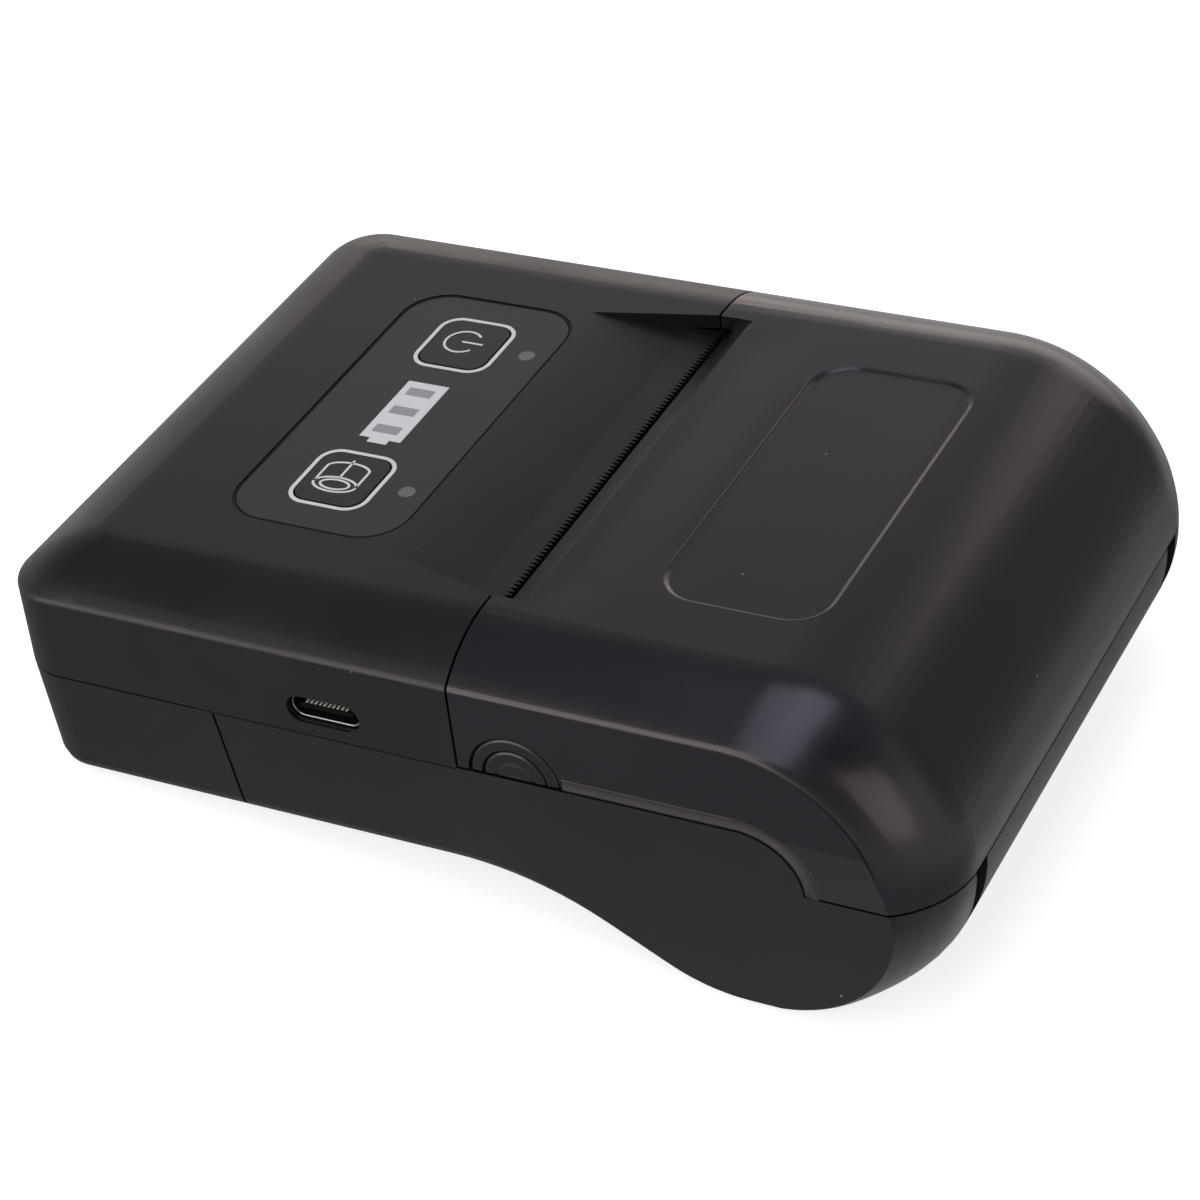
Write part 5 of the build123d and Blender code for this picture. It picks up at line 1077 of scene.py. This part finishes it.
@dataclass(frozen=True)
class SoftLight:
    """Rectangular light with an even face. Lengths are in metres, and the white sweep has a radiance of about one."""

    name: str
    place: Triple
    target: Triple
    width: float
    height: float
    radiance: float
    colour: str

    def hang(self) -> None:
        """Hang the light. Its power is its radiance times pi times its area."""
        data = bpy.data.lights.new(self.name, "AREA")
        data.shape = "RECTANGLE"
        data.size, data.size_y = self.width, self.height
        data.energy = self.radiance * math.pi * self.width * self.height
        data.color = linear(self.colour)[:3]
        light = bpy.data.objects.new(self.name, data)
        aim = Vector(self.target) - Vector(self.place)
        light.matrix_world = Matrix.Translation(self.place) @ aim.to_track_quat("-Z", "Y").to_matrix().to_4x4()
        light.visible_camera = False
        bpy.context.scene.collection.objects.link(light)


@dataclass(frozen=True)
class Patch:
    """Round patch of the surroundings, darker or brighter than the sweep.

    Its edge and its core are cosines of the angle from its middle.
    """

    middle: Triple
    edge: float
    core: float
    share: float


@dataclass
class Studio:
    """White sweep, soft lights and the camera of the reference view. Lengths are in metres."""

    camera_place: Triple = (0.16649, -0.28182, 0.25540)
    camera_right: Triple = (0.89036704, 0.44147189, -0.11112658)
    camera_down: Triple = (0.18120013, -0.56760542, -0.80311307)
    camera_forward: Triple = (-0.41762789, 0.69492925, -0.58537192)
    lens_mm: float = 103.31
    sensor_mm: float = 36.0
    clip: Pair = (0.01, 50.0)
    tilt_deg: float = 7.38
    floor_depth: float = 0.0041
    floor_size: float = 6.0
    floor_glow: float = 0.72
    lights: tuple[SoftLight, ...] = (
        SoftLight("overhead_strip", (0.165, -0.42, 1.05), (0.165, -0.42, 0.0), 0.36, 1.9, 1.75, "ecedff"),
        SoftLight("overhead_fade", (-0.15, -0.42, 1.05), (-0.15, -0.42, 0.0), 0.27, 1.7, 1.2, "ecedff"),
        SoftLight("right_box", (0.72, -0.40, 0.28), (0.04, 0.0, 0.02), 0.50, 0.62, 1.15, "fff0e2"),
        SoftLight("left_box", (-0.40, -0.76, 0.27), (0.0, 0.0, 0.03), 0.80, 0.90, 2.0, "fff3e8"),
        SoftLight("far_card", (-0.15, 0.95, 0.22), (0.0, 0.0, 0.03), 1.3, 0.30, 0.85, "ffe9e4"),
        SoftLight("far_right_card", (0.27, 0.84, 0.50), (0.03, 0.0, 0.03), 0.34, 0.34, 0.6, "ffe6e4"))
    patches: tuple[Patch, ...] = (
        Patch((0.418, -0.695, 0.585), 0.55, 0.95, 0.35),
        Patch((0.66, 0.73, 0.14), 0.80, 0.97, 0.35),
        Patch((-0.62, 0.52, 0.59), 0.86, 0.99, 0.80),
        Patch((0.40, 0.60, -0.69), 0.955, 0.995, 2.2))
    sweep: tuple[tuple[float, float, str], ...] = (
        (-0.9, 0.75, "fff6f6"), (-0.78, 0.60, "fffafa"), (-0.69, 0.24, "ffffff"), (-0.52, 0.24, "ffffff"),
        (-0.36, 0.52, "ffffff"), (-0.1, 0.62, "fffaf6"), (0.3, 0.75, "fffaf6"), (0.45, 0.60, "fffdfb"),
        (0.6, 0.45, "ffffff"), (0.8, 0.21, "ffffff"))

    def build(self) -> None:
        """Make the camera, the floor, the surroundings and the lights, shown without a film curve."""
        bpy.context.scene.view_settings.view_transform = "Standard"
        self._camera()
        self._floor()
        self._surroundings()
        for light in self.lights:
            light.hang()

    def _camera(self) -> None:
        """Set the camera solved from the photograph's edges."""
        data = bpy.data.cameras.new("reference_view")
        data.lens = self.lens_mm
        data.sensor_width = self.sensor_mm
        data.clip_start, data.clip_end = self.clip
        camera = bpy.data.objects.new("reference_view", data)
        axes = np.column_stack([self.camera_right, -np.array(self.camera_down), -np.array(self.camera_forward)])
        camera.matrix_world = Matrix.Translation(self.camera_place) @ Matrix(axes.tolist()).to_4x4()
        bpy.context.scene.collection.objects.link(camera)
        bpy.context.scene.camera = camera

    def _floor(self) -> None:
        """Lay the light table that touches the paper bulge and the front lower edge.

        It glows evenly, so that the part casts hardly any shadow, and is left out of reflections, which then show
        the darker room under it.
        """
        up = np.array([math.sin(math.radians(self.tilt_deg)), 0.0, math.cos(math.radians(self.tilt_deg))])
        across = np.array([0.0, 1.0, 0.0])
        along = np.cross(across, up)
        reach = self.floor_size
        corners = [(up * self.floor_depth + along * reach * a + across * reach * b).tolist()
                   for a, b in ((-1, -1), (1, -1), (1, 1), (-1, 1))]
        mesh = bpy.data.meshes.new("table_top")
        mesh.from_pydata(corners, [], [(0, 1, 2, 3)])
        material = bpy.data.materials.new("opal_acrylic_lit_from_below")
        material.use_nodes = True
        shader = material.node_tree.nodes["Principled BSDF"]
        for socket, value in (("Base Color", linear("dcdcdc")), ("Roughness", 0.9), ("Specular IOR Level", 0.1),
                              ("Emission Color", linear("ffffff")), ("Emission Strength", self.floor_glow)):
            shader.inputs[socket].default_value = value
        mesh.materials.append(material)
        floor = bpy.data.objects.new("table_top", mesh)
        bpy.context.scene.collection.objects.link(floor)
        floor.visible_glossy = False

    def _surroundings(self) -> None:
        """Make the white sweep, in bands of height from straight down to straight up.

        It is brightest near the horizon and darker overhead and below. A dark patch lies behind the camera, two lie
        behind the part, and a brighter one, low behind the part, lights the edge under the rear seam.
        """
        world = bpy.data.worlds.new("white_room")
        world.use_nodes = True
        tree = world.node_tree
        tree.nodes.clear()
        way = add_node(tree, "TexCoord").outputs["Generated"]
        height = add_node(tree, "SeparateXYZ", inputs={"Vector": way}).outputs["Z"]
        share = add_node(tree, "MapRange", inputs={"Value": height, "From Min": -1.0, "From Max": 1.0})
        ramp = add_node(tree, "ValToRGB", inputs={"Fac": share.outputs["Result"]})
        bands = ramp.color_ramp.elements
        bands.remove(bands[1])
        for number, (level, radiance, tint) in enumerate(self.sweep):
            band = bands[0] if number == 0 else bands.new(0.5 * (level + 1.0))
            band.position = 0.5 * (level + 1.0)
            band.color = [radiance * part for part in linear(tint)[:3]] + [1.0]
        strength = 1.0
        for patch in self.patches:
            towards = add_node(tree, "VectorMath", {"operation": "DOT_PRODUCT"}, {0: way, 1: patch.middle})
            shade = add_node(tree, "MapRange", {"interpolation_type": "SMOOTHSTEP"}, {
                "Value": towards.outputs["Value"], "From Min": patch.edge, "From Max": patch.core, "To Min": 1.0,
                "To Max": patch.share})
            strength = add_node(tree, "Math", {"operation": "MULTIPLY"}, {
                0: strength, 1: shade.outputs["Result"]}).outputs["Value"]
        sky = add_node(tree, "Background", inputs={"Color": ramp.outputs["Color"], "Strength": strength})
        add_node(tree, "OutputWorld", inputs={"Surface": sky.outputs["Background"]})
        bpy.context.scene.world = world


def dress_nodes() -> None:
    """Give every CAD node its finish."""
    for name, finish in NODE_FINISH.items():
        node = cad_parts[name]
        node.data.materials.clear()
        node.data.materials.append(finish.make())


def main() -> None:
    """Build the scene in order."""
    logging.basicConfig(level=logging.INFO, format="%(name)s %(message)s")
    Studio().build()
    dress_nodes()
    for shell in (MouldedShell("upper_housing", Body.HOUSING, "housing_plastic"),
                  MouldedShell("lower_housing", Body.HOUSING, "housing_plastic"),
                  MouldedShell("battery_case", Body.BATTERY, "housing_plastic"),
                  MouldedShell("paper_cover", Body.COVER, "cover_plastic", hollow=CoverHollow())):
        shell.build()
    for piece in (PanelMarks(), ChargingSocket(), TearBlade(), FingerGrip(), CoverSkirt(), WindowRim(), SeamLips(),
                  HeadSprings()):
        piece.build()


if __name__ == "__main__":
    main()
